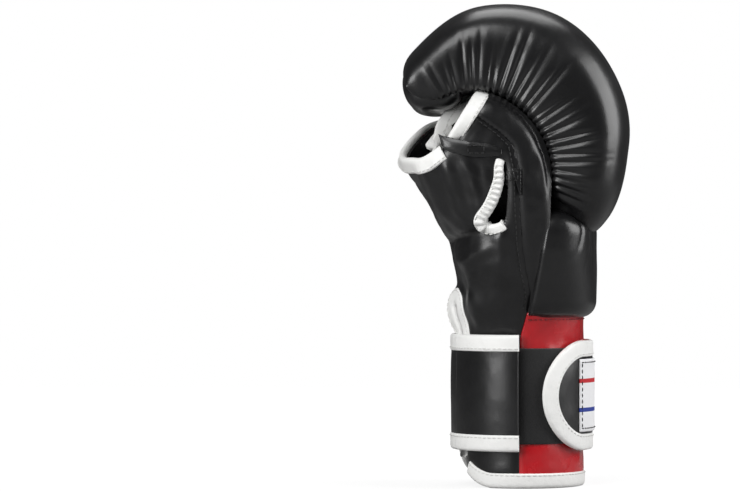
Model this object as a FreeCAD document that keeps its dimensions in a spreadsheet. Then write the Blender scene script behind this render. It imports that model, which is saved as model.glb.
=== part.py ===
"""Right-hand sparring glove for mixed martial arts, standing on its cuff with the fingers up.

The back of the hand faces +X and the palm -X, the thumb side -Y and the little finger +Y. Z runs
from the cuff's rim up to the knuckles. The glove is a leather skin, oval at the wrist and wide at
the open palm, with a padded back, a crescent of foam rolled over the knuckles, four finger tubes
that curl with that crescent, and a strap. The strap is sewn into the seam on the thumb side,
crosses the slit in the palm, goes round the little finger side and the back, and its round tab
sticks to a loop panel beside the seam where it began. Lengths are in millimetres, angles in degrees.
"""

import FreeCAD, Part
import math
import os
import re
from types import SimpleNamespace

import Sketcher
from FreeCAD import Placement, Rotation, Vector

doc = FreeCAD.newDocument("SparringGlove")
sheet = doc.addObject("Spreadsheet::Sheet", "Sizes")

DIMENSIONS = [
    # cuff: an upright oval tube, padded at the back and slit at the palm
    ("cuff_height", 88, "rim to the wrist line"),
    ("cuff_centre_x", 2.5, "centre of the cuff's oval"),
    ("cuff_half_depth", 36, "cuff, centre to back"),
    ("cuff_half_width", 43.5, "cuff, centre to side"),
    ("wrist_padding", 6, "what the cuff's back is thicker than the skin"),
    ("heel_padding", 4, "the same above the wrist line"),
    ("red_top", 100, "seam between the cuff's cover and the padded back"),
    ("seam_offset", 1.5, "side seams, ahead of the cuff's centre"),
    ("rim_height", 8, "tape round the rim"),
    ("rim_rise_radius", 19, "how the rim rises towards the slit"),
    ("rim_level", 15, "how far the rim stays level ahead of the side seams"),
    ("slit_centre_y", -15, "slit in the palm, off centre towards the thumb"),
    ("slit_gap", 12, "clear width of the slit"),
    ("slit_top", 108, "top of the clear slit"),
    # skin: leather, tape and lining
    ("skin_wall", 3, "leather with its backing"),
    ("lining_wall", 1, "fabric lining"),
    ("clearance", 0.3, "between one soft layer and the next"),
    ("tape_width", 7, "tape, edge to stitch line"),
    ("tape_proud", 0.8, "how far tape stands out from the leather"),
    # hand: how the oval grows from the cuff to the open palm
    ("heel_rise", 16, "heel of the hand, over the wrist line"),
    ("heel_flare", 7.5, "its half width, over the cuff's"),
    ("ball_rise", 37, "ball of the thumb, over the wrist line"),
    ("ball_flare", 14.5, "its half width, over the cuff's"),
    ("palm_rise", 62, "middle of the palm, over the wrist line"),
    ("palm_flare", 20, "its half width, over the cuff's"),
    ("grip_rise", 89.2, "knuckle line and curl axis, over the wrist line"),
    ("grip_flare", 25, "half width at the knuckle line, over the cuff's"),
    ("mouth_rise", 132, "where the hand's outline ends, above the mouth"),
    ("thumb_lean", -1.5, "how far the open palm leans to the thumb side"),
    # knuckle pad: a crescent between two arcs, across the whole hand
    ("curl_axis_x", -32.2, "axis that the fingers curl round"),
    ("pad_width", 131, "knuckle pad, across the hand"),
    ("pad_inner_radius", 50, "inner arc of the crescent, about the curl axis"),
    ("pad_outer_radius", 74.5, "outer arc of the crescent"),
    ("pad_shift_x", 25.5, "centre of the outer arc, behind the curl axis"),
    ("pad_shift_z", 27.3, "centre of the outer arc, above the curl axis"),
    ("pad_end_radius", 18, "rounding of the crescent's two ends"),
    ("pad_edge_radius", 16, "rounding of the pad's side edges"),
    ("pad_seat", 0.4, "between the knuckle pad and what it sits on"),
    ("cover_wall", 1.6, "leather cover of the pads"),
    ("dense_foam", 16, "dense foam layer, next to the hand"),
    ("lip_length", 26, "stuffed lip under the fingertip end, fore and aft"),
    ("lip_drop", 9.5, "depth of the lip under its seam"),
    ("lip_ahead", 17.8, "middle of the lip, ahead of the curl axis"),
    ("lip_rise", 49, "seam of the lip, above the curl axis"),
    # padded back of the hand
    ("back_bottom", 98, "lower edge of the padded back"),
    ("back_top", 151, "upper edge, tucked under the knuckle pad"),
    ("back_reach", 45.7, "outermost face, from the glove's middle"),
    ("back_flare", 8, "half width at the lower edge, over the cuff's"),
    ("back_spread", 7, "how much wider the upper edge is"),
    ("back_round", 6, "rounding of the lower edge"),
    ("back_seam_x", 4, "lower end of its side seams"),
    ("back_seam_lean", 11, "lean of the side seams from upright"),
    # finger tubes, bent about the curl axis
    ("finger_pitch", 32, "from one tube to the next"),
    ("finger_shift_y", -4, "middle of the four tubes"),
    ("finger_gap", 0.8, "between two tubes"),
    ("finger_wall", 2.2, "leather of a tube"),
    ("finger_sweep", 140, "bend of a tube before its end is cut"),
    ("skin_sweep", 118, "how far round the tubes the skin stays clear of them"),
    ("opening_slope", 57.7, "slope of the openings"),
    ("index_cut_x", 10.7, "top of the index opening, behind the curl axis"),
    ("index_cut_z", 49.4, "top of the index opening, above the curl axis"),
    ("middle_reach", 8, "middle tube, past the index tube"),
    ("ring_reach", 7, "ring tube, past the index tube"),
    ("little_reach", 2, "little tube, past the index tube"),
    ("band_wall", 2.2, "band that joins the tubes underneath"),
    ("band_from", 45, "its first edge, round the curl axis"),
    ("band_to", 117, "its last edge, round the curl axis"),
    # mouth: free edge of the palm, heights over the curl axis
    ("mouth_thumb", 18.3, "at the thumb side"),
    ("mouth_dip", 2.8, "at the dip beside the thumb"),
    ("mouth_front", 12.8, "at the middle of the palm"),
    ("mouth_little", 34, "at the little finger side"),
    ("mouth_from_x", -16, "where the free edge begins"),
    # thumb hole: a slanting slot in the thumb side
    ("thumb_hole_x", -15, "centre of the thumb hole"),
    ("thumb_hole_drop", 10.5, "centre of the thumb hole, under the curl axis"),
    ("thumb_hole_length", 46, "clear length"),
    ("thumb_hole_width", 15, "clear width"),
    ("thumb_hole_lean", 17.6, "lean from upright"),
    ("patch_length", 10, "reinforcing patch at the thumb hole"),
    ("patch_height", 9, "reinforcing patch, edge to edge"),
    # leaf-shaped panel in the little finger side
    ("leaf_centre_x", -29, "middle of the leaf"),
    ("leaf_half_width", 26, "leaf, middle to edge"),
    ("leaf_length", 86, "leaf, widest point to its lower end"),
    ("leaf_end", 113, "lower end of the leaf"),
    # strap
    ("strap_bottom", 23, "lower edge of the strap"),
    ("strap_height", 60, "strap at the back, edge to edge"),
    ("palm_strap_height", 63.5, "strap at the palm, edge to edge"),
    ("strap_offset", 2.6, "inner face of the strap, from the cuff"),
    ("strap_wall", 2.4, "strap leather, two layers"),
    ("strap_tape_proud", 0.3, "tape on the strap's edges, proud of both faces"),
    ("fastener_wall", 0.8, "hook patches and loop panel"),
    ("fastener_margin", 2.5, "loop panel, inside the strap's edges"),
    ("loop_end_angle", 10, "end of the loop panel, under the strap"),
    ("tab_centre_angle", -37, "where the round end of the tab begins"),
    ("root_angle", 268, "where the strap is sewn into the side seam"),
    ("palm_fold_angle", 148, "fold between the palm and side lengths"),
    ("side_fold_angle", 57, "fold between the side and back lengths"),
    ("tab_fold_angle", -43, "fold between the back length and the tab"),
    ("fold_gap_angle", 0.5, "gap at each fold"),
    ("label_from", -38, "edge of the label, towards the tab"),
    ("label_to", 52, "edge of the label, towards the little finger"),
    ("label_height", 42, "label, edge to edge"),
    ("label_wall", 0.7, "woven label"),
]
for row, (alias, value, note) in enumerate(DIMENSIONS, 1):
    sheet.set(f"A{row}", note)
    sheet.set(f"B{row}", str(value))
    sheet.setAlias(f"B{row}", alias)
doc.recompute()

# The same values as plain numbers, for sections and sketches that are drawn in code.
size = SimpleNamespace(**{alias: float(sheet.get(alias)) for alias, _, _ in DIMENSIONS})
ALIASES = set(vars(size))

# Expressions that several pieces share
REACH = 160  # past the glove on every side, for tools that cut right through
CURL_Z = "(cuff_height + grip_rise)"
SIDE_SEAM = "(cuff_centre_x - seam_offset)"
FINGER_RADIUS = "(finger_pitch - finger_gap) / 2"
TUBE_FLOOR = "(pad_inner_radius - pad_seat - finger_pitch + finger_gap)"
OUTWARDS = Rotation(Vector(1, 0, 0), 90)  # turns an upright axis to -Y, and +Y upright
START, END, CENTRE, ORIGIN = 1, 2, 3, -1  # points of a sketch's curve, and its origin

nodes = []


def linked(expression):
    """The expression with each size's name pointed at its cell in the sheet."""
    return re.sub(r"[a-z_]+", lambda w: "Sizes." + w[0] if w[0] in ALIASES else w[0], str(expression))


def bind(obj, sizes):
    """Ties properties of obj to expressions in the sheet's sizes."""
    for key, expression in sizes.items():
        obj.setExpression(key, linked(expression))
    return obj


def make(kind, name, sizes=None, **settings):
    """A document object with its settings, and with the properties that follow the sheet."""
    obj = doc.addObject(kind, name)
    for key, value in settings.items():
        setattr(obj, key, value)
    return bind(obj, sizes or {})


def at(x, y, z):
    """The three parts of a place, as expressions."""
    return {"Placement.Base.x": x, "Placement.Base.y": y, "Placement.Base.z": z}


def fuse(name, *shapes):
    """All the shapes as one."""
    return make("Part::MultiFuse", name, Shapes=list(shapes))


def common(name, *shapes):
    """What all the shapes share."""
    return make("Part::MultiCommon", name, Shapes=list(shapes))


def cut(name, base, *tools):
    """The base with every tool taken away."""
    for number, tool in enumerate(tools, 1):
        step = name if number == len(tools) else f"{name}_before_{tool.Name}"
        base = make("Part::Cut", step, Base=base, Tool=tool)
    return base


def block(name, low, high):
    """A box between two corners."""
    length, width, height = (f"{top} - ({bottom})" for bottom, top in zip(low, high))
    return make("Part::Box", name, {"Length": length, "Width": width, "Height": height, **at(*low)})


def leaning_block(name, x, z, lean):
    """Everything behind a plane that crosses (x, z) and leans back from upright, above that point."""
    box = make("Part::Box", name, Length=2 * REACH, Width=2 * REACH, Height=2 * REACH)
    box.Placement = Placement(Vector(), Rotation(Vector(0, 1, 0), 1))
    return bind(box, {**at(x, -REACH, z), "Placement.Rotation.Angle": lean})


def sector(name, start, end, low, high):
    """An upright wedge about the cuff's centre, from one angle to another."""
    wedge = make("Part::Cylinder", name, {"Angle": f"{end} - ({start})", "Height": f"{high} - ({low})"})
    wedge.Radius = REACH
    wedge.Placement = Placement(Vector(), Rotation(Vector(0, 0, 1), 1))
    return bind(wedge, {**at("cuff_centre_x", 0, low), "Placement.Rotation.Angle": start})


def curl_disc(name, radius, sweep=360):
    """A disc about the curl axis, right through the hand, from straight back and upwards."""
    disc = make("Part::Cylinder", name, {"Radius": radius, "Angle": sweep})
    disc.Height = 2 * REACH
    disc.Placement = Placement(Vector(), OUTWARDS)
    return bind(disc, at("curl_axis_x", REACH, CURL_Z))


def sketch_on(body, name, role):
    """A sketch on one of the body's own origin planes."""
    plane = next(feature for feature in body.Origin.OriginFeatures if feature.Role == role)
    sketch = body.newObject("Sketcher::SketchObject", name)
    sketch.AttachmentSupport = [(plane, "")]
    sketch.MapMode = "FlatFace"
    return sketch


def dimension(sketch, label, expression, *constraint):
    """A dimension of the sketch that follows the sheet."""
    index = sketch.addConstraint(Sketcher.Constraint(*constraint))
    sketch.renameConstraint(index, label)
    sketch.setExpression("Constraints." + label, linked(expression))


def pad_sketch(body, sketch, length, side="One side"):
    """Pads the sketch by a length that follows the sheet."""
    pad = body.newObject("PartDesign::Pad", body.Name + "_pad")
    pad.Profile = sketch
    pad.SideType = side
    return bind(pad, {"Length": length})


# ---- the glove's outline -------------------------------------------------------------------------


def closed_curve(name, height, centre, half_depth, half_width, fullness):
    """A level closed curve: an ellipse at fullness 2, and squarer above that.

    It is four arcs that meet on the diagonals, away from the seams of the glove.
    """
    def point(degrees):
        across, along = math.cos(math.radians(degrees)), math.sin(math.radians(degrees))
        reach = (abs(across) ** fullness + abs(along) ** fullness) ** (-1 / fullness)
        return Vector(half_depth * across * reach, half_width * along * reach, 0)

    arcs = []
    for start in (45, 135, 225, 315):
        tangents = [point(turn + 0.01) - point(turn - 0.01) for turn in (start, start + 90)]
        curve = Part.BSplineCurve()
        curve.interpolate(Points=[point(start + 15 * step) for step in range(7)],
                          InitialTangent=tangents[0].normalize(), FinalTangent=tangents[1].normalize())
        arcs.append(curve.toShape())
    ring = doc.addObject("Part::Feature", name)
    ring.Shape = Part.Wire(arcs)
    ring.Placement = Placement(Vector(centre[0], centre[1], height), Rotation())
    return ring


def stations():
    """The hand's sections: name, height, centre, half depth, half width, fullness, back padding."""
    front = size.cuff_centre_x
    depth, width, lean = size.cuff_half_depth, size.cuff_half_width, size.thumb_lean
    open_width = width + size.grip_flare
    return [
        ("wrist", 0, (front, 0), depth, width, 2.0, size.wrist_padding),
        ("heel", size.heel_rise, (front - 1.5, 0), depth + 0.5, width + size.heel_flare, 2.1, size.heel_padding),
        ("ball", size.ball_rise, (front - 9.5, lean / 3), depth - 5, width + size.ball_flare, 2.3, 0),
        ("palm", size.palm_rise, (front - 17.5, lean), depth - 3, width + size.palm_flare, 2.6, 0),
        ("grip", size.grip_rise, (front - 24.6, lean), depth + 2.4, open_width, 3.0, 0),
        ("mouth", size.mouth_rise, (front - 33, lean), depth + 10, open_width, 3.0, 0),
    ]


def outline(name, outset=0.0, padded=False):
    """The glove from below its rim to above its mouth, moved outwards by outset.

    Padded gives its inside, which leaves out the thicker back of the cuff and heel.
    """
    rings = []
    for station, rise, centre, depth, width, fullness, padding in stations():
        inwards = padding / 2 if padded else 0
        place = (centre[0] - inwards, centre[1])
        rings.append(closed_curve(f"{name}_{station}", size.cuff_height + rise, place,
                                  depth - inwards + outset, width + outset, fullness))
    hand = make("Part::Loft", name + "_hand", Sections=rings, Solid=True, Ruled=False)
    cuff = make("Part::Extrusion", name + "_cuff", {"LengthFwd": "cuff_height + 1"},
                Base=rings[0], DirMode="Custom", Dir=Vector(0, 0, -1), Solid=True)
    return fuse(name, cuff, hand)


def cuff_oval(name, outset, low, high):
    """The cuff's upright oval, moved outwards by outset, between two heights."""
    foot = make("Part::Ellipse", name + "_foot")
    foot.Placement = Placement(Vector(), Rotation(Vector(0, 0, 1), 90))
    bind(foot, {"MajorRadius": f"cuff_half_width + {outset}", "MinorRadius": f"cuff_half_depth + {outset}"})
    bind(foot, at("cuff_centre_x", 0, low))
    return make("Part::Extrusion", name, {"LengthFwd": f"{high} - ({low})"},
                Base=foot, DirMode="Custom", Dir=Vector(0, 0, 1), Solid=True)


def cuff_ring(name, inner, outer, low, high):
    """A band round the cuff, between two outsets."""
    return cut(name, cuff_oval(name + "_out", outer, low, high),
               cuff_oval(name + "_in", inner, f"{low} - 1", f"{high} + 1"))


skin = outline("skin")
skin_clear = outline("skin_clear", size.clearance)
skin_taped = outline("skin_taped", size.tape_proud)
hollow = outline("hollow", -size.skin_wall, padded=True)
wall = cut("wall", skin, hollow)
taped_wall = cut("taped_wall", skin_taped, hollow)


# ---- knuckle pad: a crescent, foam inside a leather cover ----------------------------------------


def crescent(name, inset, width=None):
    """The knuckle pad's solid, moved inwards by inset. With a width it is a tool with square sides.

    Four arcs, each tangent to the next: the outer face, the fingertip end, the inner face about the
    curl axis and the hand end.
    """
    body = bind(doc.addObject("PartDesign::Body", name), at("curl_axis_x", 0, CURL_Z))
    sketch = sketch_on(body, name + "_profile", "XZ_Plane")
    inner, outer, end = size.pad_inner_radius, size.pad_outer_radius, size.pad_end_radius
    middle = Vector(size.pad_shift_x, size.pad_shift_z, 0)
    # both ends lie (inner + end) from the curl axis and (outer - end) from the outer arc's centre
    gap = middle.Length
    along = ((inner + end) ** 2 - (outer - end) ** 2 + gap**2) / (2 * gap)
    aside = math.sqrt((inner + end) ** 2 - along**2)
    to_middle = middle / gap
    across = Vector(-to_middle.y, to_middle.x, 0)
    hand_end = to_middle * along - across * aside
    tip_end = to_middle * along + across * aside

    def direction(vector):
        return math.atan2(vector.y, vector.x)

    def arc(centre, radius, start, stop):
        circle = Part.Circle(centre, Vector(0, 0, 1), radius)
        return sketch.addGeometry(Part.ArcOfCircle(circle, start, stop))

    outer_hand, outer_tip = direction(hand_end - middle), direction(tip_end - middle)
    inner_hand, inner_tip = direction(hand_end), direction(tip_end)
    face = arc(middle, outer - inset, outer_hand, outer_tip)
    tip = arc(tip_end, end - inset, outer_tip, inner_tip + math.pi)
    seat = arc(Vector(), inner + inset, inner_hand, inner_tip)
    heel = arc(hand_end, end - inset, inner_hand + math.pi, outer_hand + 2 * math.pi)
    joints = [(face, END, tip, START), (tip, END, seat, END), (seat, START, heel, START), (heel, END, face, START)]
    for joint in joints:
        sketch.addConstraint(Sketcher.Constraint("Tangent", *joint))
    sketch.addConstraint(Sketcher.Constraint("Coincident", seat, CENTRE, ORIGIN, START))
    dimension(sketch, "shift_x", "pad_shift_x", "DistanceX", ORIGIN, START, face, CENTRE, middle.x)
    dimension(sketch, "shift_z", "pad_shift_z", "DistanceY", ORIGIN, START, face, CENTRE, middle.y)
    dimension(sketch, "outer", f"pad_outer_radius - ({inset})", "Radius", face, outer - inset)
    dimension(sketch, "inner", f"pad_inner_radius + {inset}", "Radius", seat, inner + inset)
    dimension(sketch, "tip", f"pad_end_radius - ({inset})", "Radius", tip, end - inset)
    dimension(sketch, "heel", f"pad_end_radius - ({inset})", "Radius", heel, end - inset)
    pad = pad_sketch(body, sketch, width or f"pad_width - 2 * {inset}", "Symmetric")
    if width is None:
        doc.recompute()
        side = pad.Shape.BoundBox.YMax
        edges = [f"Edge{number}" for number, edge in enumerate(pad.Shape.Edges, 1)
                 if all(abs(abs(vertex.Point.y) - side) < 1e-6 for vertex in edge.Vertexes)]
        rounding = body.newObject("PartDesign::Fillet", name + "_rounding")
        rounding.Base = (pad, edges)
        bind(rounding, {"Radius": f"min(pad_edge_radius; pad_end_radius - 1) - {inset}"})
    return body


knuckle_pad = crescent("knuckle_pad", 0)
knuckle_inside = crescent("knuckle_inside", size.cover_wall)
knuckle_foam = crescent("knuckle_foam", size.cover_wall + size.clearance)
under_pad = crescent("under_pad", -size.pad_seat, width=str(2 * REACH))

nodes.append(cut("knuckle_pad_cover", knuckle_pad, knuckle_inside))
dense_radius = "pad_inner_radius + cover_wall + dense_foam"
nodes.append(common("knuckle_foam_inner", knuckle_foam, curl_disc("dense_disc", dense_radius)))
nodes.append(cut("knuckle_foam_outer", knuckle_foam, curl_disc("dense_clear_disc", dense_radius + " + clearance")))

# the stuffed lip hangs under the fingertip end, ahead of the finger tubes
lip_section = make("Part::Ellipse", "lip_section", {"MajorRadius": "lip_length / 2", "MinorRadius": "lip_drop"})
lip_section.Placement = Placement(Vector(), OUTWARDS)
bind(lip_section, at("curl_axis_x - lip_ahead", "(pad_width - pad_edge_radius) / 2", CURL_Z + " + lip_rise"))
lip_solid = make("Part::Extrusion", "lip_solid", {"LengthFwd": "pad_width - pad_edge_radius"},
                 Base=lip_section, DirMode="Custom", Dir=Vector(0, -1, 0), Solid=True)
nodes.append(cut("fingertip_lip", lip_solid, under_pad))


# ---- finger tubes --------------------------------------------------------------------------------


def bent_bar(name, offset, radius):
    """A round bar bent about the curl axis, in the place of one finger."""
    bar = make("Part::Torus", name, {"Radius1": "pad_inner_radius - pad_seat - " + FINGER_RADIUS, "Radius2": radius})
    bar.Placement = Placement(Vector(), OUTWARDS)
    y = f"finger_shift_y + {offset} * finger_pitch"
    return bind(bar, {"Angle3": "finger_sweep", **at("curl_axis_x", y, CURL_Z)})


def behind_opening(name, reach, inset):
    """Everything behind the sloping plane of a finger's opening, moved back by inset."""
    x = f"curl_axis_x + index_cut_x - {reach} + {inset} / sin(opening_slope) - {REACH} * cos(opening_slope)"
    z = f"{CURL_Z} + index_cut_z - {REACH} * sin(opening_slope)"
    return leaning_block(name, x, z, "90 - opening_slope")


# each finger's place in the row of tubes, and how far its opening reaches past the index opening
FINGERS = [(-1.5, "index", 0), (-0.5, "middle", "middle_reach"),
           (0.5, "ring", "ring_reach"), (1.5, "little", "little_reach")]
for offset, finger, reach in FINGERS:
    tube = cut(finger + "_tube", bent_bar(finger + "_outside", offset, FINGER_RADIUS),
               bent_bar(finger + "_inside", offset, FINGER_RADIUS + " - finger_wall"))
    open_tube = common(finger + "_open_tube", tube, behind_opening(finger + "_opening", reach, 0))
    behind_tape = behind_opening(finger + "_stitch_line", reach, "tape_width")
    nodes.append(common(finger + "_finger_stall", open_tube, behind_tape))
    nodes.append(cut(finger + "_finger_binding", open_tube, behind_tape))

# the band under the tubes is a strip of leather bent about the curl axis
band_edge = "2 * finger_pitch - finger_gap / 2"
across_fingers = block("across_fingers", (-REACH, "finger_shift_y - " + band_edge, 0),
                       (REACH, "finger_shift_y + " + band_edge, 2 * REACH))
band_ring = cut("band_ring", curl_disc("band_outside", TUBE_FLOOR + " - clearance", "band_to"),
                curl_disc("band_inside", TUBE_FLOOR + " - clearance - band_wall"),
                curl_disc("band_before", REACH, "band_from"))
nodes.append(common("finger_band", across_fingers, band_ring))

# what the skin leaves clear: the tubes, the band and the pad over them
tube_room = cut("tube_room", curl_disc("tube_room_outside", "pad_inner_radius + pad_end_radius", "skin_sweep"),
                curl_disc("tube_room_inside", TUBE_FLOOR + " - 2 * clearance - band_wall"))


# ---- tools that cut the skin ---------------------------------------------------------------------


def slot(name, role, length, width, place, lean="0"):
    """A slot with round ends, drawn on an upright plane and padded square to it."""
    body = doc.addObject("PartDesign::Body", name)
    body.Placement = Placement(Vector(), Rotation(Vector(0, 1, 0), 1))
    bind(body, {**at(*place), "Placement.Rotation.Angle": lean})
    sketch = sketch_on(body, name + "_outline", role)
    radius, half = 10.0, 20.0
    right = sketch.addGeometry(Part.LineSegment(Vector(radius, -half, 0), Vector(radius, half, 0)))
    left = sketch.addGeometry(Part.LineSegment(Vector(-radius, half, 0), Vector(-radius, -half, 0)))
    top_circle = Part.Circle(Vector(0, half, 0), Vector(0, 0, 1), radius)
    top = sketch.addGeometry(Part.ArcOfCircle(top_circle, 0, math.pi))
    low_circle = Part.Circle(Vector(0, -half, 0), Vector(0, 0, 1), radius)
    low = sketch.addGeometry(Part.ArcOfCircle(low_circle, math.pi, 2 * math.pi))
    for first, second in [(right, top), (top, left), (left, low), (low, right)]:
        sketch.addConstraint(Sketcher.Constraint("Tangent", first, END, second, START))
    sketch.addConstraint(Sketcher.Constraint("Vertical", right))
    sketch.addConstraint(Sketcher.Constraint("Equal", top, low))
    sketch.addConstraint(Sketcher.Constraint("Symmetric", top, CENTRE, low, CENTRE, ORIGIN, START))
    dimension(sketch, "radius", f"({width}) / 2", "Radius", top, radius)
    dimension(sketch, "between", f"({length}) - ({width})", "DistanceY", low, CENTRE, top, CENTRE, 2 * half)
    pad_sketch(body, sketch, str(REACH))
    return body


def thumb_slot(name, grow):
    """The thumb hole, made larger all round."""
    length, width = f"thumb_hole_length + 2 * ({grow})", f"thumb_hole_width + 2 * ({grow})"
    place = ("thumb_hole_x", -20, CURL_Z + " - thumb_hole_drop")
    return slot(name, "XZ_Plane", length, width, place, "thumb_hole_lean")


def palm_slit(name, grow):
    """The slit in the palm, from below the rim to its round top, made larger all round."""
    below = 60
    length, width = f"slit_top + {below} + ({grow})", f"slit_gap + 2 * ({grow})"
    place = (f"cuff_centre_x - 10 - {REACH}", "slit_centre_y", f"(slit_top + ({grow}) - {below}) / 2")
    return slot(name, "YZ_Plane", length, width, place)


def prism(name, edges, direction, place):
    """A solid swept straight from a closed outline."""
    tool = doc.addObject("Part::Feature", name)
    tool.Shape = Part.Face(Part.Wire(edges)).extrude(direction)
    tool.Placement = Placement(place, Rotation())
    return tool


def chain(points):
    """Straight edges through points, one after the other."""
    return [Part.makeLine(first, second) for first, second in zip(points, points[1:])]


def mouth_block(name, drop):
    """Everything over the palm's free edge, lowered by drop. The edge dips beside the thumb."""
    base = size.cuff_height + size.grip_rise - drop
    edge = size.cuff_half_width + size.grip_flare
    heights = [(-edge - 15, size.mouth_thumb + 6), (-edge, size.mouth_thumb), (-edge * 0.64, size.mouth_dip),
               (0, size.mouth_front), (edge * 0.73, size.mouth_little), (edge + 15, size.mouth_little + 6)]
    points = [Vector(0, y, base + height) for y, height in heights]
    curve = Part.BSplineCurve()
    curve.interpolate(Points=points)
    top = 3 * REACH
    corners = [points[-1], Vector(0, points[-1].y, top), Vector(0, points[0].y, top), points[0]]
    place = Vector(size.mouth_from_x, 0, 0)
    return prism(name, [curve.toShape(), *chain(corners)], Vector(-REACH, 0, 0), place)


def rim_block(name, height):
    """Everything under the rim, raised by height: level behind, and round where it rises to the slit."""
    radius = size.rim_rise_radius
    turn_x = size.cuff_centre_x - size.seam_offset - size.rim_level
    slant = math.sin(math.pi / 4)
    low = Vector(turn_x, 0, height)
    middle = Vector(turn_x - radius * slant, 0, height + radius * (1 - slant))
    side = Vector(turn_x - radius, 0, height + radius)
    corners = [side, side + Vector(0, 0, 1), Vector(-REACH, 0, side.z + 1), Vector(-REACH, 0, -10),
               Vector(REACH, 0, -10), Vector(REACH, 0, height), low]
    rise = Part.Arc(low, middle, side).toShape()
    return prism(name, [*chain(corners), rise], Vector(0, 2 * REACH, 0), Vector(0, -REACH, 0))


def leaf(name, grow):
    """The side panel's outline, the lower half of a long ellipse, through the little finger side."""
    section = make("Part::Ellipse", name + "_section")
    section.Placement = Placement(Vector(), Rotation(Vector(0, 0, 1), Vector(1, 0, 0), Vector(0, 1, 0), "ZXY"))
    bind(section, {"MajorRadius": f"leaf_length + {grow}", "MinorRadius": f"leaf_half_width + {grow}"})
    bind(section, at("leaf_centre_x", 20, "leaf_end + leaf_length"))
    return make("Part::Extrusion", name, Base=section, DirMode="Custom", Dir=Vector(0, 1, 0),
                LengthFwd=REACH, Solid=True)


TAPE_SEAM = "tape_width + clearance"
mouth = mouth_block("mouth", 0)
mouth_seam = mouth_block("mouth_seam", size.tape_width + size.clearance)
rim = rim_block("rim", 0)
rim_taped = rim_block("rim_taped", size.rim_height)
rim_seam = rim_block("rim_seam", size.rim_height + size.clearance)
slit = palm_slit("slit", 0)
slit_seam = palm_slit("slit_seam", TAPE_SEAM)
thumb_hole = thumb_slot("thumb_hole", 0)
thumb_seam = thumb_slot("thumb_seam", TAPE_SEAM)
leaf_clear = leaf("leaf_clear", "clearance")

# ---- the hand: palm, side gussets, liner behind the padded back, lining --------------------------

ahead_of_seam = block("ahead_of_seam", (-REACH, -REACH, "cuff_height"), (SIDE_SEAM, REACH, 2 * REACH))
behind_seam = block("behind_seam", (SIDE_SEAM, -REACH, "red_top"), (REACH, REACH, 2 * REACH))
thumb_half = block("thumb_half", (-REACH, -REACH, -REACH), (REACH, 0, 2 * REACH))
back_half = leaning_block("back_half", "back_seam_x", "back_bottom", "back_seam_lean")

open_wall = cut("open_wall", wall, tube_room, under_pad)
palm_blank = common("palm_blank", open_wall, ahead_of_seam)
nodes.append(cut("palm_panel", palm_blank, mouth_seam, thumb_seam, slit_seam, leaf_clear))
nodes.append(cut("little_side_panel", common("leaf_panel", palm_blank, leaf("leaf", "0")), mouth_seam))
back_skin = common("back_skin", open_wall, behind_seam)
nodes.append(common("hand_back_liner", back_skin, back_half))
gussets = cut("gussets", back_skin, back_half)
nodes.append(common("thumb_side_gusset", gussets, thumb_half))
nodes.append(cut("little_side_gusset", gussets, thumb_half))

mouth_strip = common("mouth_strip", taped_wall, ahead_of_seam, mouth_block("mouth_tape", size.tape_width))
mouth_edge = cut("mouth_edge", mouth_strip, mouth, tube_room, under_pad)
ahead_of_mouth = block("ahead_of_mouth", (-REACH, -REACH, 0), ("mouth_from_x", REACH, 2 * REACH))
nodes.append(common("mouth_binding", mouth_edge, ahead_of_mouth))
thumb_strip = common("thumb_strip", taped_wall, thumb_slot("thumb_tape", "tape_width"), ahead_of_seam)
nodes.append(cut("thumb_hole_binding", thumb_strip, thumb_hole, tube_room))

lining_outside = outline("lining_outside", -size.skin_wall - size.clearance, padded=True)
lining_inside = outline("lining_inside", -size.skin_wall - size.clearance - size.lining_wall, padded=True)
lining = cut("lining", lining_outside, lining_inside, rim_seam, slit_seam, thumb_seam, mouth_seam, tube_room)
over_wrist = block("over_wrist", (-REACH, -REACH, "cuff_height"), (REACH, REACH, 2 * REACH))
nodes.append(common("hand_lining", lining, over_wrist))
nodes.append(cut("cuff_lining", lining, over_wrist))

# ---- padded back of the hand ---------------------------------------------------------------------


def back_pad(name, inset):
    """The padded back, moved inwards by inset: ovals that widen upwards from a rounded lower edge."""
    rings = []
    for step, (turn, spread) in enumerate([(0, 0), (30, 0), (60, 0), (90, 0), (90, 1)]):
        bottom = f"back_bottom + {inset} + back_round * (1 - cos({turn}))"
        tuck = f"{inset} + back_round * (1 - sin({turn}))"
        ring = make("Part::Ellipse", f"{name}_ring{step}")
        ring.Placement = Placement(Vector(), Rotation(Vector(0, 0, 1), 90))
        half_width = f"cuff_half_width + back_flare + {spread} * back_spread - ({tuck})"
        bind(ring, {"MajorRadius": half_width, "MinorRadius": f"back_reach - back_seam_x - ({tuck})"})
        bind(ring, at("back_seam_x", 0, "back_top" if spread else bottom))
        rings.append(ring)
    ovals = make("Part::Loft", name + "_ovals", Sections=rings, Solid=True, Ruled=True)
    seams = leaning_block(name + "_seams", f"back_seam_x + {inset}", "back_bottom", "back_seam_lean")
    return common(name, ovals, seams)


back_shell = cut("back_shell", back_pad("back_outside", 0), back_pad("back_inside", size.cover_wall))
nodes.append(cut("hand_back_cover", back_shell, skin_clear, under_pad))
back_filling = back_pad("back_filling", size.cover_wall + size.clearance)
nodes.append(cut("hand_back_foam", back_filling, skin_clear, under_pad))

# ---- cuff ----------------------------------------------------------------------------------------

red_block = block("red_block", (SIDE_SEAM, -REACH, -1), (REACH, REACH, "red_top"))
red_blank = common("red_blank", red_block, wall)
nodes.append(cut("cuff_back_cover", red_blank, outline("cover_inside", -size.cover_wall), rim_seam))
foam_outside = outline("foam_outside", -size.cover_wall - size.clearance)
foam_ring = cut("foam_ring", foam_outside, hollow)
nodes.append(cut("cuff_back_foam", common("foam_blank", foam_ring, red_block), rim_seam))

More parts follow.
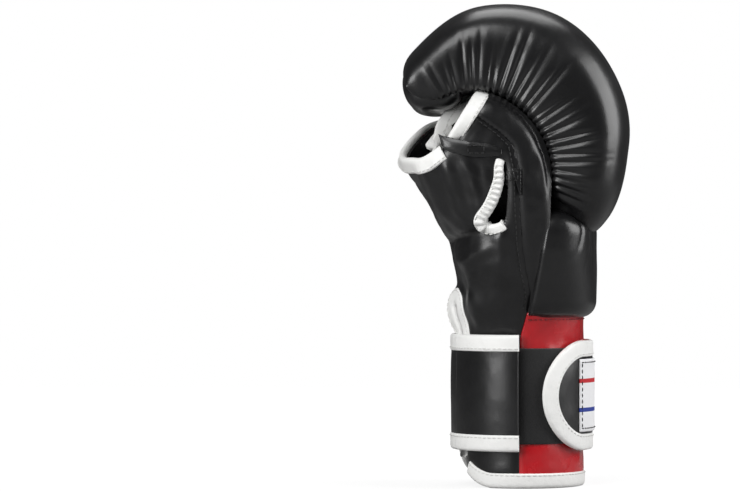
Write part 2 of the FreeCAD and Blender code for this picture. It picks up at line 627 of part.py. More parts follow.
flap_block = block("flap_block", (-REACH, -REACH, -1), (SIDE_SEAM, REACH, "cuff_height"))
flaps = cut("flaps", common("flap_blank", flap_block, wall), slit_seam, rim_seam)
thumb_of_slit = block("thumb_of_slit", (-REACH, -REACH, -1), (REACH, "slit_centre_y", "cuff_height"))
nodes.append(common("wrist_flap_thumb", flaps, thumb_of_slit))
nodes.append(cut("wrist_flap_little", flaps, thumb_of_slit))

slit_strip = common("slit_strip", taped_wall, palm_slit("slit_tape", "tape_width"))
nodes.append(cut("slit_binding", slit_strip, slit, rim_seam))
nodes.append(cut("rim_binding", common("rim_strip", taped_wall, rim_taped), rim, slit))

STRAP_TOP = "(strap_bottom + strap_height)"
loop_ring = cuff_ring("loop_ring", "clearance", "clearance + fastener_wall",
                      "strap_bottom + fastener_margin", STRAP_TOP + " - fastener_margin")
loop_sector = sector("loop_sector", "root_angle - 360", "loop_end_angle", 0, "cuff_height")
nodes.append(common("loop_panel", loop_ring, loop_sector))

# the patch lies over the tape, at the end of the thumb hole nearest the gusset
patch_outside = outline("patch_outside", size.tape_proud + size.clearance + size.fastener_wall)
patch_skin = cut("patch_skin", patch_outside, outline("patch_inside", size.tape_proud + size.clearance))
patch_block = block("patch_block", (SIDE_SEAM + " - patch_length", -REACH, CURL_Z + " - patch_height"),
                    (SIDE_SEAM, 0, CURL_Z))
nodes.append(cut("thumb_hole_patch", common("patch_blank", patch_skin, patch_block), thumb_hole))

# ---- strap: four lengths that fold at their seams ------------------------------------------------

strap_ring = cuff_ring("strap_ring", "strap_offset", "strap_offset + strap_wall", 0, "cuff_height + 10")
tape_ring = cuff_ring("tape_ring", "strap_offset - strap_tape_proud",
                      "strap_offset + strap_wall + strap_tape_proud", 0, "cuff_height + 10")
hook_ring = cuff_ring("hook_ring", "strap_offset - clearance - fastener_wall", "strap_offset - clearance",
                      0, "cuff_height")


def strap_length(name, start, end, top):
    """One length of the strap: its leather, and the tape along both of its edges."""
    whole = sector(name + "_whole", f"{start} + fold_gap_angle", end, "strap_bottom", top)
    leather = sector(name + "_leather", f"{start} + fold_gap_angle - 1", f"{end} + 1",
                     "strap_bottom + tape_width", f"{top} - tape_width")
    nodes.append(common(name + "_band", strap_ring, whole, leather))
    nodes.append(cut(name + "_binding", common(name + "_edges", tape_ring, whole), leather))


def tab_disc(name, radius):
    """A level disc that points out of the cuff where the tab's round end begins."""
    disc = make("Part::Cylinder", name, {"Radius": radius})
    disc.Height = REACH
    disc.Placement = Placement(Vector(), Rotation(Vector(1, 0, 1), 180))
    place = at("cuff_centre_x", 0, "strap_bottom + strap_height / 2")
    axis = {"Placement.Rotation.Axis.x": "cos(tab_centre_angle)", "Placement.Rotation.Axis.y": "sin(tab_centre_angle)"}
    return bind(disc, {**place, **axis})


strap_length("strap_palm", "palm_fold_angle", "root_angle", "(strap_bottom + palm_strap_height)")
strap_length("strap_side", "side_fold_angle", "palm_fold_angle", STRAP_TOP)
strap_length("strap_back", "tab_fold_angle", "side_fold_angle", STRAP_TOP)

tab_sector = sector("tab_sector", "tab_fold_angle - 90", "tab_fold_angle", 0, 2 * REACH)
tab_inside = tab_disc("tab_inside", "strap_height / 2 - tape_width")
nodes.append(common("strap_tab_band", strap_ring, tab_sector, tab_inside))
tab_edge = common("tab_edge", tape_ring, tab_sector, tab_disc("tab_outside", "strap_height / 2"))
nodes.append(cut("strap_tab_binding", tab_edge, tab_inside))

hook_disc = tab_disc("hook_disc", "strap_height / 2 - tape_width - clearance")
nodes.append(common("tab_hook_patch", hook_ring, tab_sector, hook_disc))
hook_sector = sector("hook_sector", "tab_fold_angle + fold_gap_angle", "loop_end_angle",
                     "strap_bottom + tape_width + clearance", STRAP_TOP + " - tape_width - clearance")
nodes.append(common("back_hook_patch", hook_ring, hook_sector))

label_ring = cuff_ring("label_ring", "strap_offset + strap_wall + clearance",
                       "strap_offset + strap_wall + clearance + label_wall",
                       "strap_bottom + (strap_height - label_height) / 2",
                       "strap_bottom + (strap_height + label_height) / 2")
nodes.append(common("label_patch", label_ring, sector("label_sector", "label_from", "label_to", 0, "cuff_height")))

# ---- build, check and write ----------------------------------------------------------------------

doc.recompute()
for obj in doc.Objects:
    if {"Invalid", "Error"} & set(obj.State):
        raise RuntimeError(f"{obj.Name} did not build: {obj.State}")
for node in nodes:
    node.Label = node.Name
    if node.Shape.isNull() or not node.Shape.isValid() or not node.Shape.Solids:
        raise RuntimeError(f"{node.Label} is not a valid solid")

os.makedirs("parts", exist_ok=True)
for node in nodes:
    node.Shape.exportStep(f"parts/{node.Label}.step")
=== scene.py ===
import math
import random

import bpy
import numpy as np
from bpy.props import FloatProperty, FloatVectorProperty, IntProperty, PointerProperty
from bpy.types import Operator, Panel, PropertyGroup
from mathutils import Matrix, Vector, noise


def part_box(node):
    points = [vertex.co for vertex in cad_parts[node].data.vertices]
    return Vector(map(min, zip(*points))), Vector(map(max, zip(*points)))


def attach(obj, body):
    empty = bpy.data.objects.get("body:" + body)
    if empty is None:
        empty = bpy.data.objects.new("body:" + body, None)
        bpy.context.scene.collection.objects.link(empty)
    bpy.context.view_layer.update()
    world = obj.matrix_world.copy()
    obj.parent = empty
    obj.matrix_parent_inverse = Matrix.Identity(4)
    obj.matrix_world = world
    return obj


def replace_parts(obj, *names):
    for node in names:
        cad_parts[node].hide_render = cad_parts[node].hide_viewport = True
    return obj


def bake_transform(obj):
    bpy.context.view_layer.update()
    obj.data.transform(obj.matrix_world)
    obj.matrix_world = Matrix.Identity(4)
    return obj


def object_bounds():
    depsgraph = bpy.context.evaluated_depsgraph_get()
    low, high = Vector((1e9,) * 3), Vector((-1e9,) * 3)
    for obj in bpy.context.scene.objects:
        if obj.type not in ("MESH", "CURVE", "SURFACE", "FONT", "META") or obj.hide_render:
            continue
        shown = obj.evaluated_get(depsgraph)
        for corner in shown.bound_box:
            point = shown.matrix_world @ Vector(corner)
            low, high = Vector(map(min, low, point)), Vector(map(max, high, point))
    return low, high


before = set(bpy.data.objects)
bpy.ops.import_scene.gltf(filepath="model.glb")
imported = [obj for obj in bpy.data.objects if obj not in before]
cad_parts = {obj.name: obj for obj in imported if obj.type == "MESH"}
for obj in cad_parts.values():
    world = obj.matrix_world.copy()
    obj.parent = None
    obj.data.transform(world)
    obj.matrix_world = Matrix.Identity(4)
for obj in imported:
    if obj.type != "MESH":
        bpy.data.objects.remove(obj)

bl_info = {
    "name": "Sparring glove",
    "version": (1, 0, 0),
    "blender": (4, 5, 0),
    "location": "3D View > Sidebar > Glove",
    "description": "Builds the leather, foam, tape and stitching of an open-palm sparring glove",
    "category": "Add Mesh",
}

CAD_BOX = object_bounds()
MM = 0.001


def corners(*names):
    """Lowest and highest corner of the CAD nodes together."""
    boxes = [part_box(name) for name in names]
    return np.min([low for low, _ in boxes], axis=0), np.max([high for _, high in boxes], axis=0)


def linear(code):
    """An sRGB hex colour as linear red, green and blue."""
    parts = [int(code[place:place + 2], 16) / 255 for place in (1, 3, 5)]
    return tuple(c / 12.92 if c <= 0.04045 else ((c + 0.055) / 1.055) ** 2.4 for c in parts)


# ---- where things are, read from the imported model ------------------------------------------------

PAD_LOW, PAD_HIGH = corners("knuckle_pad_cover")
RIM_HIGH = corners("rim_binding")[1]
CUFF_TOP = corners("wrist_flap_thumb")[1][2]
STRAP_LOW, STRAP_HIGH = corners("strap_back_binding")
PALM_STRAP_TOP = corners("strap_palm_binding")[1][2]
RED_TOP = corners("cuff_back_cover")[1][2]
BACK_LOW, BACK_HIGH = corners("hand_back_cover")

# the crescent of the knuckle pad: an inner arc about the curl axis and an outer arc beside it
PAD_INNER = 50 * MM
PAD_OUTER = 74.5 * MM
PAD_END = 18 * MM
PAD_SHIFT = np.array([25.5, 27.3]) * MM
CURL = np.array([PAD_HIGH[0], PAD_HIGH[2]]) - PAD_OUTER - PAD_SHIFT

# the cuff's oval
PROUD = 0.8 * MM
CUFF_WIDTH = RIM_HIGH[1] - PROUD
CUFF_DEPTH = 36 * MM
CUFF_X = RIM_HIGH[0] - PROUD - CUFF_DEPTH


# ---- mesh helpers --------------------------------------------------------------------------------


def piece(name, points, faces, material, body="glove", slot=None):
    """A mesh object from points and faces, with its finish and the body that it rides on."""
    mesh = bpy.data.meshes.new(name)
    mesh.from_pydata(np.asarray(points, float).reshape(-1, 3).tolist(), [], [list(f) for f in faces])
    mesh.validate()
    mesh.polygons.foreach_set("use_smooth", [True] * len(mesh.polygons))
    mesh.materials.append(material)
    made = bpy.data.objects.new(name, mesh)
    bpy.context.scene.collection.objects.link(made)
    if body:
        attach(made, body)
    return made


def join_meshes(parts):
    """Several (points, faces) as one."""
    points, faces, count = [], [], 0
    for part_points, part_faces in parts:
        part_points = np.asarray(part_points, float).reshape(-1, 3)
        points.append(part_points)
        faces += [[index + count for index in face] for face in part_faces]
        count += len(part_points)
    return np.concatenate(points), faces


def grid_faces(rows, columns, around=False, along=False):
    """Quads of a grid of rows by columns; around closes each row, along closes the columns."""
    faces = []
    for row in range(rows if along else rows - 1):
        lower, upper = row * columns, (row + 1) % rows * columns
        for column in range(columns if around else columns - 1):
            after = (column + 1) % columns
            faces.append((lower + column, lower + after, upper + after, upper + column))
    return faces


def capped_faces(rows, columns):
    """Quads of a tube of rows by columns, with one face over each end."""
    last = (rows - 1) * columns
    ends = [list(range(columns)), [last + column for column in reversed(range(columns))]]
    return grid_faces(rows, columns, around=True) + ends


def run_along(points):
    """Distance along a line of points, from its first."""
    return np.concatenate([[0], np.cumsum(np.linalg.norm(np.diff(points, axis=0), axis=1))])


def unit(vectors):
    """The same vectors with length 1."""
    return vectors / np.maximum(np.linalg.norm(vectors, axis=-1, keepdims=True), 1e-12)


def grid_normals(grid, around=False):
    """Normals of a grid of points, from its rows and columns."""
    if around:
        across = np.roll(grid, -1, axis=1) - np.roll(grid, 1, axis=1)
    else:
        across = np.gradient(grid, axis=1)
    return unit(np.cross(across, np.gradient(grid, axis=0)))


def spline(at, knots, values):
    """A smooth curve through the values at the knots, straight at both ends."""
    knots, values = np.array(knots, float), np.array(values, float)
    gaps = np.diff(knots)
    slopes = np.diff(values) / gaps
    count = len(knots)
    system, right = np.eye(count), np.zeros(count)
    for i in range(1, count - 1):
        system[i, i - 1:i + 2] = gaps[i - 1], 2 * (gaps[i - 1] + gaps[i]), gaps[i]
        right[i] = 6 * (slopes[i] - slopes[i - 1])
    bend = np.linalg.solve(system, right)
    at = np.clip(at, knots[0], knots[-1])
    i = np.clip(np.searchsorted(knots, at) - 1, 0, count - 2)
    d, gap = at - knots[i], gaps[i]
    return (values[i] + d * (slopes[i] - gap * (2 * bend[i] + bend[i + 1]) / 6)
            + d**2 * bend[i] / 2 + d**3 * (bend[i + 1] - bend[i]) / (6 * gap))


def step(value, low, high):
    """0 below low, 1 above high and smooth between."""
    share = np.clip((np.asarray(value, float) - low) / (high - low), 0, 1)
    return share * share * (3 - 2 * share)


def bell(value, middle, width):
    """1 at the middle, falling away smoothly to each side."""
    return np.exp(-((value - middle) / width) ** 2)


def rumple(points, size, seed=0.0):
    """Soft noise between about -1 and 1 at each point, with features of that size."""
    shift = Vector((seed * 7.1, seed * 3.3, seed * 5.7))
    flat = np.asarray(points, float).reshape(-1, 3) / size
    values = np.array([noise.noise(Vector(p) + shift) for p in flat])
    return values.reshape(np.asarray(points).shape[:-1])


def trim(points, faces, field):
    """The part of a surface where field is above 0, with its border cut cleanly through the faces.

    points may carry more columns than x, y and z, which are interpolated along the border.
    """
    kept, places, new_points, new_faces = {}, {}, [], []

    def keep(index):
        """The new number of a point that stays."""
        if index not in kept:
            kept[index] = len(new_points)
            new_points.append(points[index])
        return kept[index]

    def crossing(first, second):
        """The number of the point where the border cuts an edge."""
        key = (min(first, second), max(first, second))
        if key not in places:
            share = field[first] / (field[first] - field[second])
            places[key] = len(new_points)
            new_points.append(points[first] + share * (points[second] - points[first]))
        return places[key]

    for face in faces:
        signs = [field[index] > 0 for index in face]
        if all(signs):
            new_faces.append([keep(index) for index in face])
        elif any(signs):
            loop = []
            for here, after in zip(face, list(face[1:]) + [face[0]]):
                if field[here] > 0:
                    loop.append(keep(here))
                if (field[here] > 0) != (field[after] > 0):
                    loop.append(crossing(here, after))
            if len(loop) > 2:
                new_faces.append(loop)
    return np.array(new_points), new_faces


def thicken(points, faces, normals, wall):
    """A sheet given a wall on its inner side, closed along every free edge."""
    count = len(points)
    all_points = np.concatenate([points, points - normals * wall])
    all_faces = [list(face) for face in faces]
    all_faces += [[index + count for index in reversed(face)] for face in faces]
    used = {}
    for face in faces:
        for first, second in zip(face, list(face[1:]) + [face[0]]):
            used[(first, second)] = True
    for first, second in used:
        if (second, first) not in used:
            all_faces.append([second, first, first + count, second + count])
    return all_points, all_faces


def sweep(rail, normals, inward, profile, closed=False, swell=None):
    """A closed profile carried along a rail. Profile columns are inward from the edge and outward."""
    profile = np.asarray(profile, float)
    rows = len(rail)
    stretch = np.ones((rows, len(profile), 2)) if swell is None else swell
    grid = (rail[:, None, :] + inward[:, None, :] * (profile[None, :, 0] * stretch[:, :, 0])[..., None]
            + normals[:, None, :] * (profile[None, :, 1] * stretch[:, :, 1])[..., None])
    if closed:
        return grid.reshape(-1, 3), grid_faces(rows, len(profile), around=True, along=True)
    return grid.reshape(-1, 3), capped_faces(rows, len(profile))


def tape_profile(width, wall, proud=PROUD):
    """Section of a tape folded over an edge: its outer leg, the fold and its inner leg."""
    half = wall / 2 + proud
    outer = [(width, 0.0), (width - 0.25 * proud, 0.7 * proud), (width - 1.2 * proud, proud)]
    outer += [(width * share, proud * (1 + 0.12 * math.sin(math.pi * share))) for share in (0.7, 0.45, 0.2)]
    fold = [(-half * math.sin(math.radians(turn)), -wall / 2 + half * math.cos(math.radians(turn)))
            for turn in range(0, 181, 30)]
    inner = [(width * share, -wall - proud) for share in (0.2, 0.6, 0.95)]
    return outer + fold + inner + [(width, -wall)]


def edge_frame(rail, normals, closed=False):
    """The direction along a surface, square to a rail on it."""
    if closed:
        tangent = np.roll(rail, -1, axis=0) - np.roll(rail, 1, axis=0)
    else:
        tangent = np.gradient(rail, axis=0)
    return unit(np.cross(normals, unit(tangent)))


def stitch_row(points, normals, pitch, length, radius=0.34 * MM, closed=False):
    """A row of thread stitches that lie on a surface, each a little arch with its ends sunk."""
    loop = np.concatenate([points, points[:1]]) if closed else points
    up = np.concatenate([normals, normals[:1]]) if closed else normals
    run = run_along(loop)
    count = max(1, int(run[-1] / pitch))
    parts, sides, rings = [], 6, 5
    for number in range(count):
        start = (number + 0.5) * run[-1] / count - length / 2
        places = start + np.linspace(0, length, rings)
        line = np.stack([np.interp(places, run, loop[:, axis]) for axis in range(3)], axis=1)
        out = unit(np.stack([np.interp(places, run, up[:, axis]) for axis in range(3)], axis=1))
        along = unit(np.gradient(line, axis=0))
        side = unit(np.cross(along, out))
        arch = np.sin(np.linspace(0.12, 0.88, rings) * math.pi)
        line = line + out * (arch * radius * 1.1 - radius * 0.45)[:, None]
        turns = np.arange(sides) * 2 * math.pi / sides
        ring = (side[:, None] * np.cos(turns)[None, :, None] + out[:, None] * np.sin(turns)[None, :, None])
        grid = line[:, None] + ring * (radius * np.clip(arch + 0.25, 0, 1))[:, None, None]
        parts.append((grid.reshape(-1, 3), capped_faces(rings, sides)))
    return join_meshes(parts)


# ---- the glove's skin: one closed outline at each height -----------------------------------------

# height, front, back, thumb side, little finger side, fullness; heights from the rim. The back lies
# inside the pads, so that the sides run flat to the pads' edges
SECTIONS = np.array([
    (-1.0, -33.5, 38.5, -43.5, 43.5, 2.0),
    (50.0, -33.5, 38.5, -43.5, 43.5, 2.0),
    (80.0, -33.7, 38.5, -43.6, 43.6, 2.0),
    (90.0, -34.5, 38.3, -45.2, 45.2, 2.0),
    (104.0, -37.4, 39.5, -50.6, 50.6, 2.1),
    (117.0, -35.0, 42.0, -56.0, 55.4, 2.2),
    (130.0, -37.3, 43.0, -60.2, 58.8, 2.4),
    (141.0, -39.6, 43.0, -63.2, 60.8, 2.55),
    (152.0, -47.2, 42.0, -65.6, 62.3, 2.7),
    (165.0, -54.5, 40.0, -67.8, 64.3, 2.85),
    (180.0, -63.0, 38.0, -69.2, 66.4, 3.0),
    (190.0, -68.2, 38.0, -69.4, 66.8, 3.0),
    (203.0, -65.0, 38.0, -69.2, 67.0, 3.0),
    (222.0, -62.0, 38.0, -68.8, 67.0, 3.0),
])
SECTIONS[:, :5] *= MM


def section(z):
    """Centre, half sizes and fullness of the outline at each height."""
    front, back, thumb, little, full = (spline(z, SECTIONS[:, 0], SECTIONS[:, k]) for k in range(1, 6))
    return (front + back) / 2, (thumb + little) / 2, (back - front) / 2, (little - thumb) / 2, full


def outline(turn, z):
    """The plain outline: turn is 0 straight back, a quarter at the little finger and a half at the palm."""
    cx, cy, depth, width, full = section(z)
    c, s = np.cos(turn), np.sin(turn)
    reach = (np.abs(c) ** full + np.abs(s) ** full) ** (-1 / full)
    return np.stack(np.broadcast_arrays(cx + depth * c * reach, cy + width * s * reach, z), axis=-1)


def relief(p):
    """How far the leather stands out of the plain outline: folds at the thumb's ball and the slit's lips."""
    x, y, z = (p[..., k] / MM for k in range(3))
    palm = step(-x, 5, 25)
    thumb_side = step(-y, 25, 40)
    ball = 4.0 * bell(z, 131, 11) * bell(y, -48, 17) * step(-x, -4, 10)
    fold = -3.4 * bell(z - 0.25 * (x + 30), 144, 3.2) * step(-x, 8, 24) * step(-y, 8, 34)
    ridge = 1.5 * bell(x + 0.06 * (z - 120), -26, 3.4)
    ridge = ridge * step(z, 92, 106) * (1 - step(z, 126, 138)) * step(-y, 20, 34)
    fullness = 1.3 * bell(x, -9, 4.5) * step(z, 110, 128) * (1 - step(z, 143, 151))
    drape = 0.8 * np.sin((x + 0.35 * (z - 170)) / 2.1)
    drape = drape * step(z, 150, 160) * (1 - step(z, 182, 190)) * step(-x, 17, 26)
    draw = 0.7 * np.sin((z - 0.5 * x) / 1.9) * bell(x, -24, 9)
    draw = draw * step(z, 122, 132) * (1 - step(z, 140, 147))
    folds = (fullness + drape + draw) * thumb_side
    far_lip = 2.6 * bell(y, -3, 8) * step(z, 84, 98) * (1 - step(z, 108, 118)) * palm
    near_lip = -1.8 * bell(y, -27, 7) * step(z, 84, 98) * (1 - step(z, 108, 122)) * palm
    cup = -2.2 * bell(z, 163, 14) * bell(y, -6, 30) * palm
    # above the knuckle line the sides follow the outermost finger tubes, round under the pad
    over = np.clip((np.hypot(x - CURL[0] / MM, z - CURL[1] / MM) - 34) / 15.6, 0, 1)
    tube = np.where(y < 0, 53.4, 50.0) + 15.6 * (0.5 + 0.5 * np.sqrt(1 - over**2))
    side = np.minimum(tube - np.abs(y), 0) * step(z, 168, 186) * step(np.abs(y), 44, 56)
    return (ball + fold + ridge + folds + far_lip + near_lip + cup + side) * MM


def skin(turn, z):
    """Points on the leather's outer face."""
    turn, z = np.broadcast_arrays(np.asarray(turn, float), np.asarray(z, float))
    base = outline(turn, z)
    tiny = 1e-4
    across = outline(turn + tiny, z) - outline(turn - tiny, z)
    upwards = outline(turn, z + tiny) - outline(turn, z - tiny)
    return base + unit(np.cross(across, upwards)) * relief(base)[..., None]


def skin_normal(turn, z):
    """Outward normals of the leather's outer face."""
    turn, z = np.broadcast_arrays(np.asarray(turn, float), np.asarray(z, float))
    tiny = 2e-3
    across = skin(turn + tiny, z) - skin(turn - tiny, z)
    upwards = skin(turn, z + 0.5 * MM) - skin(turn, z - 0.5 * MM)
    return unit(np.cross(across, upwards))


def turn_at_x(x, z, side):
    """Where the outline reaches x, on the thumb side (-1) or the little finger side (1)."""
    cx, _, depth, _, full = section(z)
    c = np.clip((x - cx) / depth, -0.999, 0.999)
    return np.arctan2(side * (1 - np.abs(c) ** full) ** (1 / full), c) % (2 * math.pi)


def turn_at_y(y, z):
    """Where the outline reaches y on the palm side."""
    _, cy, _, width, full = section(z)
    s = np.clip((y - cy) / width, -0.999, 0.999)
    return np.arctan2(s, -(1 - np.abs(s) ** full) ** (1 / full)) % (2 * math.pi)


# the side seams, as height and x
SEAM_KNOTS = np.array([(0, 1.0), (80, 1.0), (87, 1.8), (101, 6.0), (105, 7.0), (111.5, 7.6), (125, 4.8),
                       (139, 2.7), (160, 1.6), (181, 1.0), (196, -2.0), (203, -9.0), (215, -26.0),
                       (229, -46.0)]) * MM
# the palm's free edge, as y and height
MOUTH_KNOTS = np.array([(-84, 218), (-69.5, 203), (-66.6, 196.4), (-64.4, 192.4), (-61, 188.9), (-56, 187.2),
                        (-46, 186.8), (-34, 187.4), (-15, 189.4), (4, 192.6), (25, 199), (50, 209.5),
                        (66, 214.5), (84, 217.5)]) * MM
# the thumb hole's edge, as x and height: from its top down the palm side, round the bottom and up again
HOLE_KNOTS = np.array([(-8.2, 188.5), (-9.5, 184.0), (-9.4, 177.5), (-10.8, 171.0), (-13.9, 163.2),
                       (-17.4, 157.6), (-20.0, 153.8), (-19.6, 150.4), (-16.6, 148.8), (-12.6, 149.6),
                       (-8.6, 151.6), (-6.6, 155.4), (-5.8, 163.9), (-5.4, 171.7), (-5.7, 179.0),
                       (-6.4, 185.5)]) * MM
# upper and lower edge of the band over the thumb hole, as x and height
BAND_UPPER = np.array([(-46, 203.5), (-43, 202.0), (-36, 200.2), (-30, 199.0), (-17, 197.4), (-12, 195.6),
                       (-8, 193.2)]) * MM
BAND_LOWER = np.array([(-46, 196.4), (-43, 195.0), (-38, 192.4), (-30, 190.4), (-24, 189.6), (-16, 189.8),
                       (-8, 191.0)]) * MM
# the leaf-shaped panel: how far it reaches round the palm, as height and y, and its rounded outline
LEAF_FRONT = np.array([(108, 62), (124, 54), (138, 46), (150, 38), (160, 31), (170, 23), (178, 17), (186, 14),
                       (196, 13), (216, 16)]) * MM
LEAF_MIDDLE = np.array([-29, 199]) * MM
LEAF_HALF_WIDTH, LEAF_LENGTH = 31.6 * MM, 86 * MM
SLIT_Y, SLIT_GAP, SLIT_TOP = -15 * MM, 9 * MM, 108 * MM
OPENING_SLOPE = math.radians(57.7)
OPENING = np.array([10.7, 49.4]) * MM     # top of the index opening, from the curl axis
TAPE = 7 * MM
TAPE_SEWN = 5.6 * MM             # stitch line, in from the edge that the tape binds
WALL = 3 * MM
SPACING = 1.6 * MM               # between the rows of a leather sheet's mesh


def seam_x(z):
    """The side seams, where palm and back meet."""
    return np.interp(z, *SEAM_KNOTS.T)


def mouth_z(y):
    """Height of the palm's free edge."""
    return spline(y, *MOUTH_KNOTS.T)


def closed_curve(knots, count):
    """Even steps along a smooth closed curve through the knots."""
    share = np.arange(count) / count * len(knots)
    i = np.floor(share).astype(int)
    t = (share - i)[:, None]
    before, here, after, beyond = (knots[(i + k) % len(knots)] for k in (-1, 0, 1, 2))
    return (here + t * (after - before) / 2 + t**2 * (before - 2.5 * here + 2 * after - beyond / 2)
            + t**3 * (1.5 * (here - after) + (beyond - before) / 2))


def loop_distance(x, z, loop):
    """Distance outside a closed loop of points in the x, z plane."""
    spot = np.stack([x, z], axis=-1).reshape(-1, 1, 2)
    start, run = loop[None], (np.roll(loop, -1, axis=0) - loop)[None]
    share = np.clip(np.sum((spot - start) * run, axis=-1) / np.sum(run * run, axis=-1), 0, 1)
    away = np.linalg.norm(spot - start - share[..., None] * run, axis=-1).min(axis=1)
    above = start[..., 1] > spot[..., 1]
    crossed = above != ((start + run)[..., 1] > spot[..., 1])
    slope = run[..., 0] / np.where(run[..., 1] == 0, 1e-12, run[..., 1])
    crossed &= spot[..., 0] < start[..., 0] + slope * (spot[..., 1] - start[..., 1])
    inside = np.sum(crossed, axis=1) % 2 == 1
    return np.where(inside, -away, away).reshape(np.shape(x))


def hole_distance(p):
    """Distance outside the thumb hole, on the thumb side."""
    away = loop_distance(p[..., 0], p[..., 2], closed_curve(HOLE_KNOTS, 64))
    return np.where(p[..., 1] < 0, away, 1.0)


def slit_distance(p):
    """Distance outside the slit, on the palm side."""
    over = np.maximum(p[..., 2] - SLIT_TOP + SLIT_GAP / 2, 0)
    away = np.hypot(p[..., 1] - SLIT_Y, over) - SLIT_GAP / 2
    return np.where(p[..., 0] < 0, away, 1.0)


def leaf_distance(p):
    """Distance outside the leaf-shaped panel, which wraps from the little finger side on to the palm."""
    across, up = (p[..., 0] - LEAF_MIDDLE[0]) / LEAF_HALF_WIDTH, (p[..., 2] - LEAF_MIDDLE[1]) / LEAF_LENGTH
    rounded = (np.hypot(across, up) - 1) * LEAF_HALF_WIDTH
    return np.maximum(rounded, np.interp(p[..., 2], *LEAF_FRONT.T) - p[..., 1])


def seam_distance(p):
    """Distance ahead of the side seams."""
    return seam_x(p[..., 2]) - p[..., 0]


def behind_opening(p):
    """Distance behind the sloping plane of the index finger's opening, 4 mm clear of it."""
    x, z = p[..., 0] - CURL[0] - OPENING[0], p[..., 2] - CURL[1] - OPENING[1]
    return x * math.sin(OPENING_SLOPE) - z * math.cos(OPENING_SLOPE) - 4 * MM


def mouth_distance(p):
    """Distance under the palm's free edge, which meets the index tube's opening at the thumb side."""
    under = mouth_z(p[..., 1]) - p[..., 2]
    return np.where(p[..., 1] < -55 * MM, np.maximum(under, behind_opening(p)), under)


def pad_distance(p):
    """Distance inside the knuckle pad's inner arc, above the knuckle line."""
    away = PAD_INNER + 2 * MM - np.hypot(p[..., 0] - CURL[0], p[..., 2] - CURL[1])
    return np.where(p[..., 2] > CURL[1], away, 1.0)


def leather_sheet(turns, heights, fields, roll=0.9 * MM, reach=2.2 * MM, crinkle=0.35 * MM, seed=1.0,
                  wall=WALL, sink=0.0):
    """Leather over part of the skin, trimmed by distance fields, its edges rolled in at the seams."""
    turn, height = np.meshgrid(turns, heights)
    points, normals = skin(turn, height), skin_normal(turn, height)
    distances = [field(points).reshape(-1) for field in fields]
    nearest = np.min(distances, axis=0).reshape(turn.shape)
    drop = roll * np.exp(-(np.maximum(nearest, 0) / reach) ** 1.5) + sink
    lift = crinkle * (rumple(points, 16 * MM, seed) + 0.5 * rumple(points, 7 * MM, seed + 5))
    points = points + normals * (lift * step(nearest, 0, 6 * MM) - drop)[..., None]
    rows = np.concatenate([points, normals], axis=-1).reshape(-1, 6)
    faces = grid_faces(*turn.shape)
    rows = np.concatenate([rows] + [distance[:, None] for distance in distances], axis=1)
    for number in range(len(fields)):
        rows, faces = trim(rows, faces, rows[:, 6 + number])
    return thicken(rows[:, :3], faces, unit(rows[:, 3:6]), wall)


# ---- knuckle pad ---------------------------------------------------------------------------------

PLEATS = 27                      # gathers along each inner seam
PAD_CORNER = 30 * MM             # radius of both lower corners, seen from behind
PAD_FOOT = 177 * MM              # height at which they start
TIP_DROP = 4.8 * MM              # how far the fingertip end hangs over the lip
HEEL_HANG = 3.4 * MM             # how far the heel hangs over the padded back
BACK_SINK = 3.0 * MM             # how much flatter the back is than the outer arc
GATHER_DEPTH = 1.15 * MM


def turned(angle):
    """Unit vectors in the plane across the hand, from an angle above straight back."""
    return np.stack([np.cos(angle), np.sin(angle)], axis=-1)


def pad_spine(per_pleat=8, cap=14):
    """The crescent's sections all along it: place from 0 to 1, inner edge and outer edge.

    The sections sit on the ellipse of centres between the two arcs, and close round each end.
    """
    reach = (PAD_INNER + PAD_OUTER) / 2
    offset = np.linalg.norm(PAD_SHIFT) / 2
    aim = math.atan2(PAD_SHIFT[1], PAD_SHIFT[0])
    end_cos = (reach - (reach**2 - offset**2) / (PAD_INNER + PAD_END)) / offset
    spread = math.acos(end_cos)
    place = np.linspace(0, 1, PLEATS * per_pleat + 1)
    angle = aim - spread + 2 * spread * place
    distance = (reach**2 - offset**2) / (reach - offset * np.cos(angle - aim))
    middle = turned(angle) * distance[:, None]
    inner = turned(angle) * PAD_INNER
    outer = PAD_SHIFT + unit(middle - PAD_SHIFT) * PAD_OUTER
    rows = [(place, inner, outer)]
    for end in (0, -1):
        foot_out = math.atan2(*(outer[end] - middle[end])[::-1])
        foot_in = math.atan2(*(inner[end] - middle[end])[::-1])
        sweep_angle = (foot_in - foot_out) % (2 * math.pi)
        if end == 0:
            sweep_angle = -((-sweep_angle) % (2 * math.pi))
        share = np.sin(np.linspace(0, 1, cap + 1)[1:] * math.pi / 2)
        ends = [middle[end] + turned(foot + sign * share * sweep_angle / 2) * PAD_END
                for foot, sign in ((foot_in, -1), (foot_out, 1))]
        beyond = share * PAD_END / distance[end] / (2 * spread)
        if end == 0:
            rows.insert(0, (-beyond[::-1], ends[0][::-1], ends[1][::-1]))
        else:
            rows.append((1 + beyond, *ends))
    return [np.concatenate(columns) for columns in zip(*rows)]


def pad_ring(count=44):
    """Half of the pad's section, from the inner seam round the side to the outer face: (side, height)."""
    fine = np.linspace(0, math.pi, 1200)
    height = -np.cos(fine)
    side = np.where(height > 0, np.abs(1 - np.abs(height) ** 2.5) ** (1 / 4.6),
                    0.955 + 0.045 * (1 - np.abs(height) ** 2))
    turn_in = np.maximum(-height - 0.86, 0) / 0.14
    side = side * np.abs(1 - turn_in**2.2) ** (1 / 2.2)
    run = run_along(np.stack([side * 65, height * 26], axis=1))
    even = np.linspace(0, run[-1], count)
    return np.interp(even, run, side), np.interp(even, run, height)


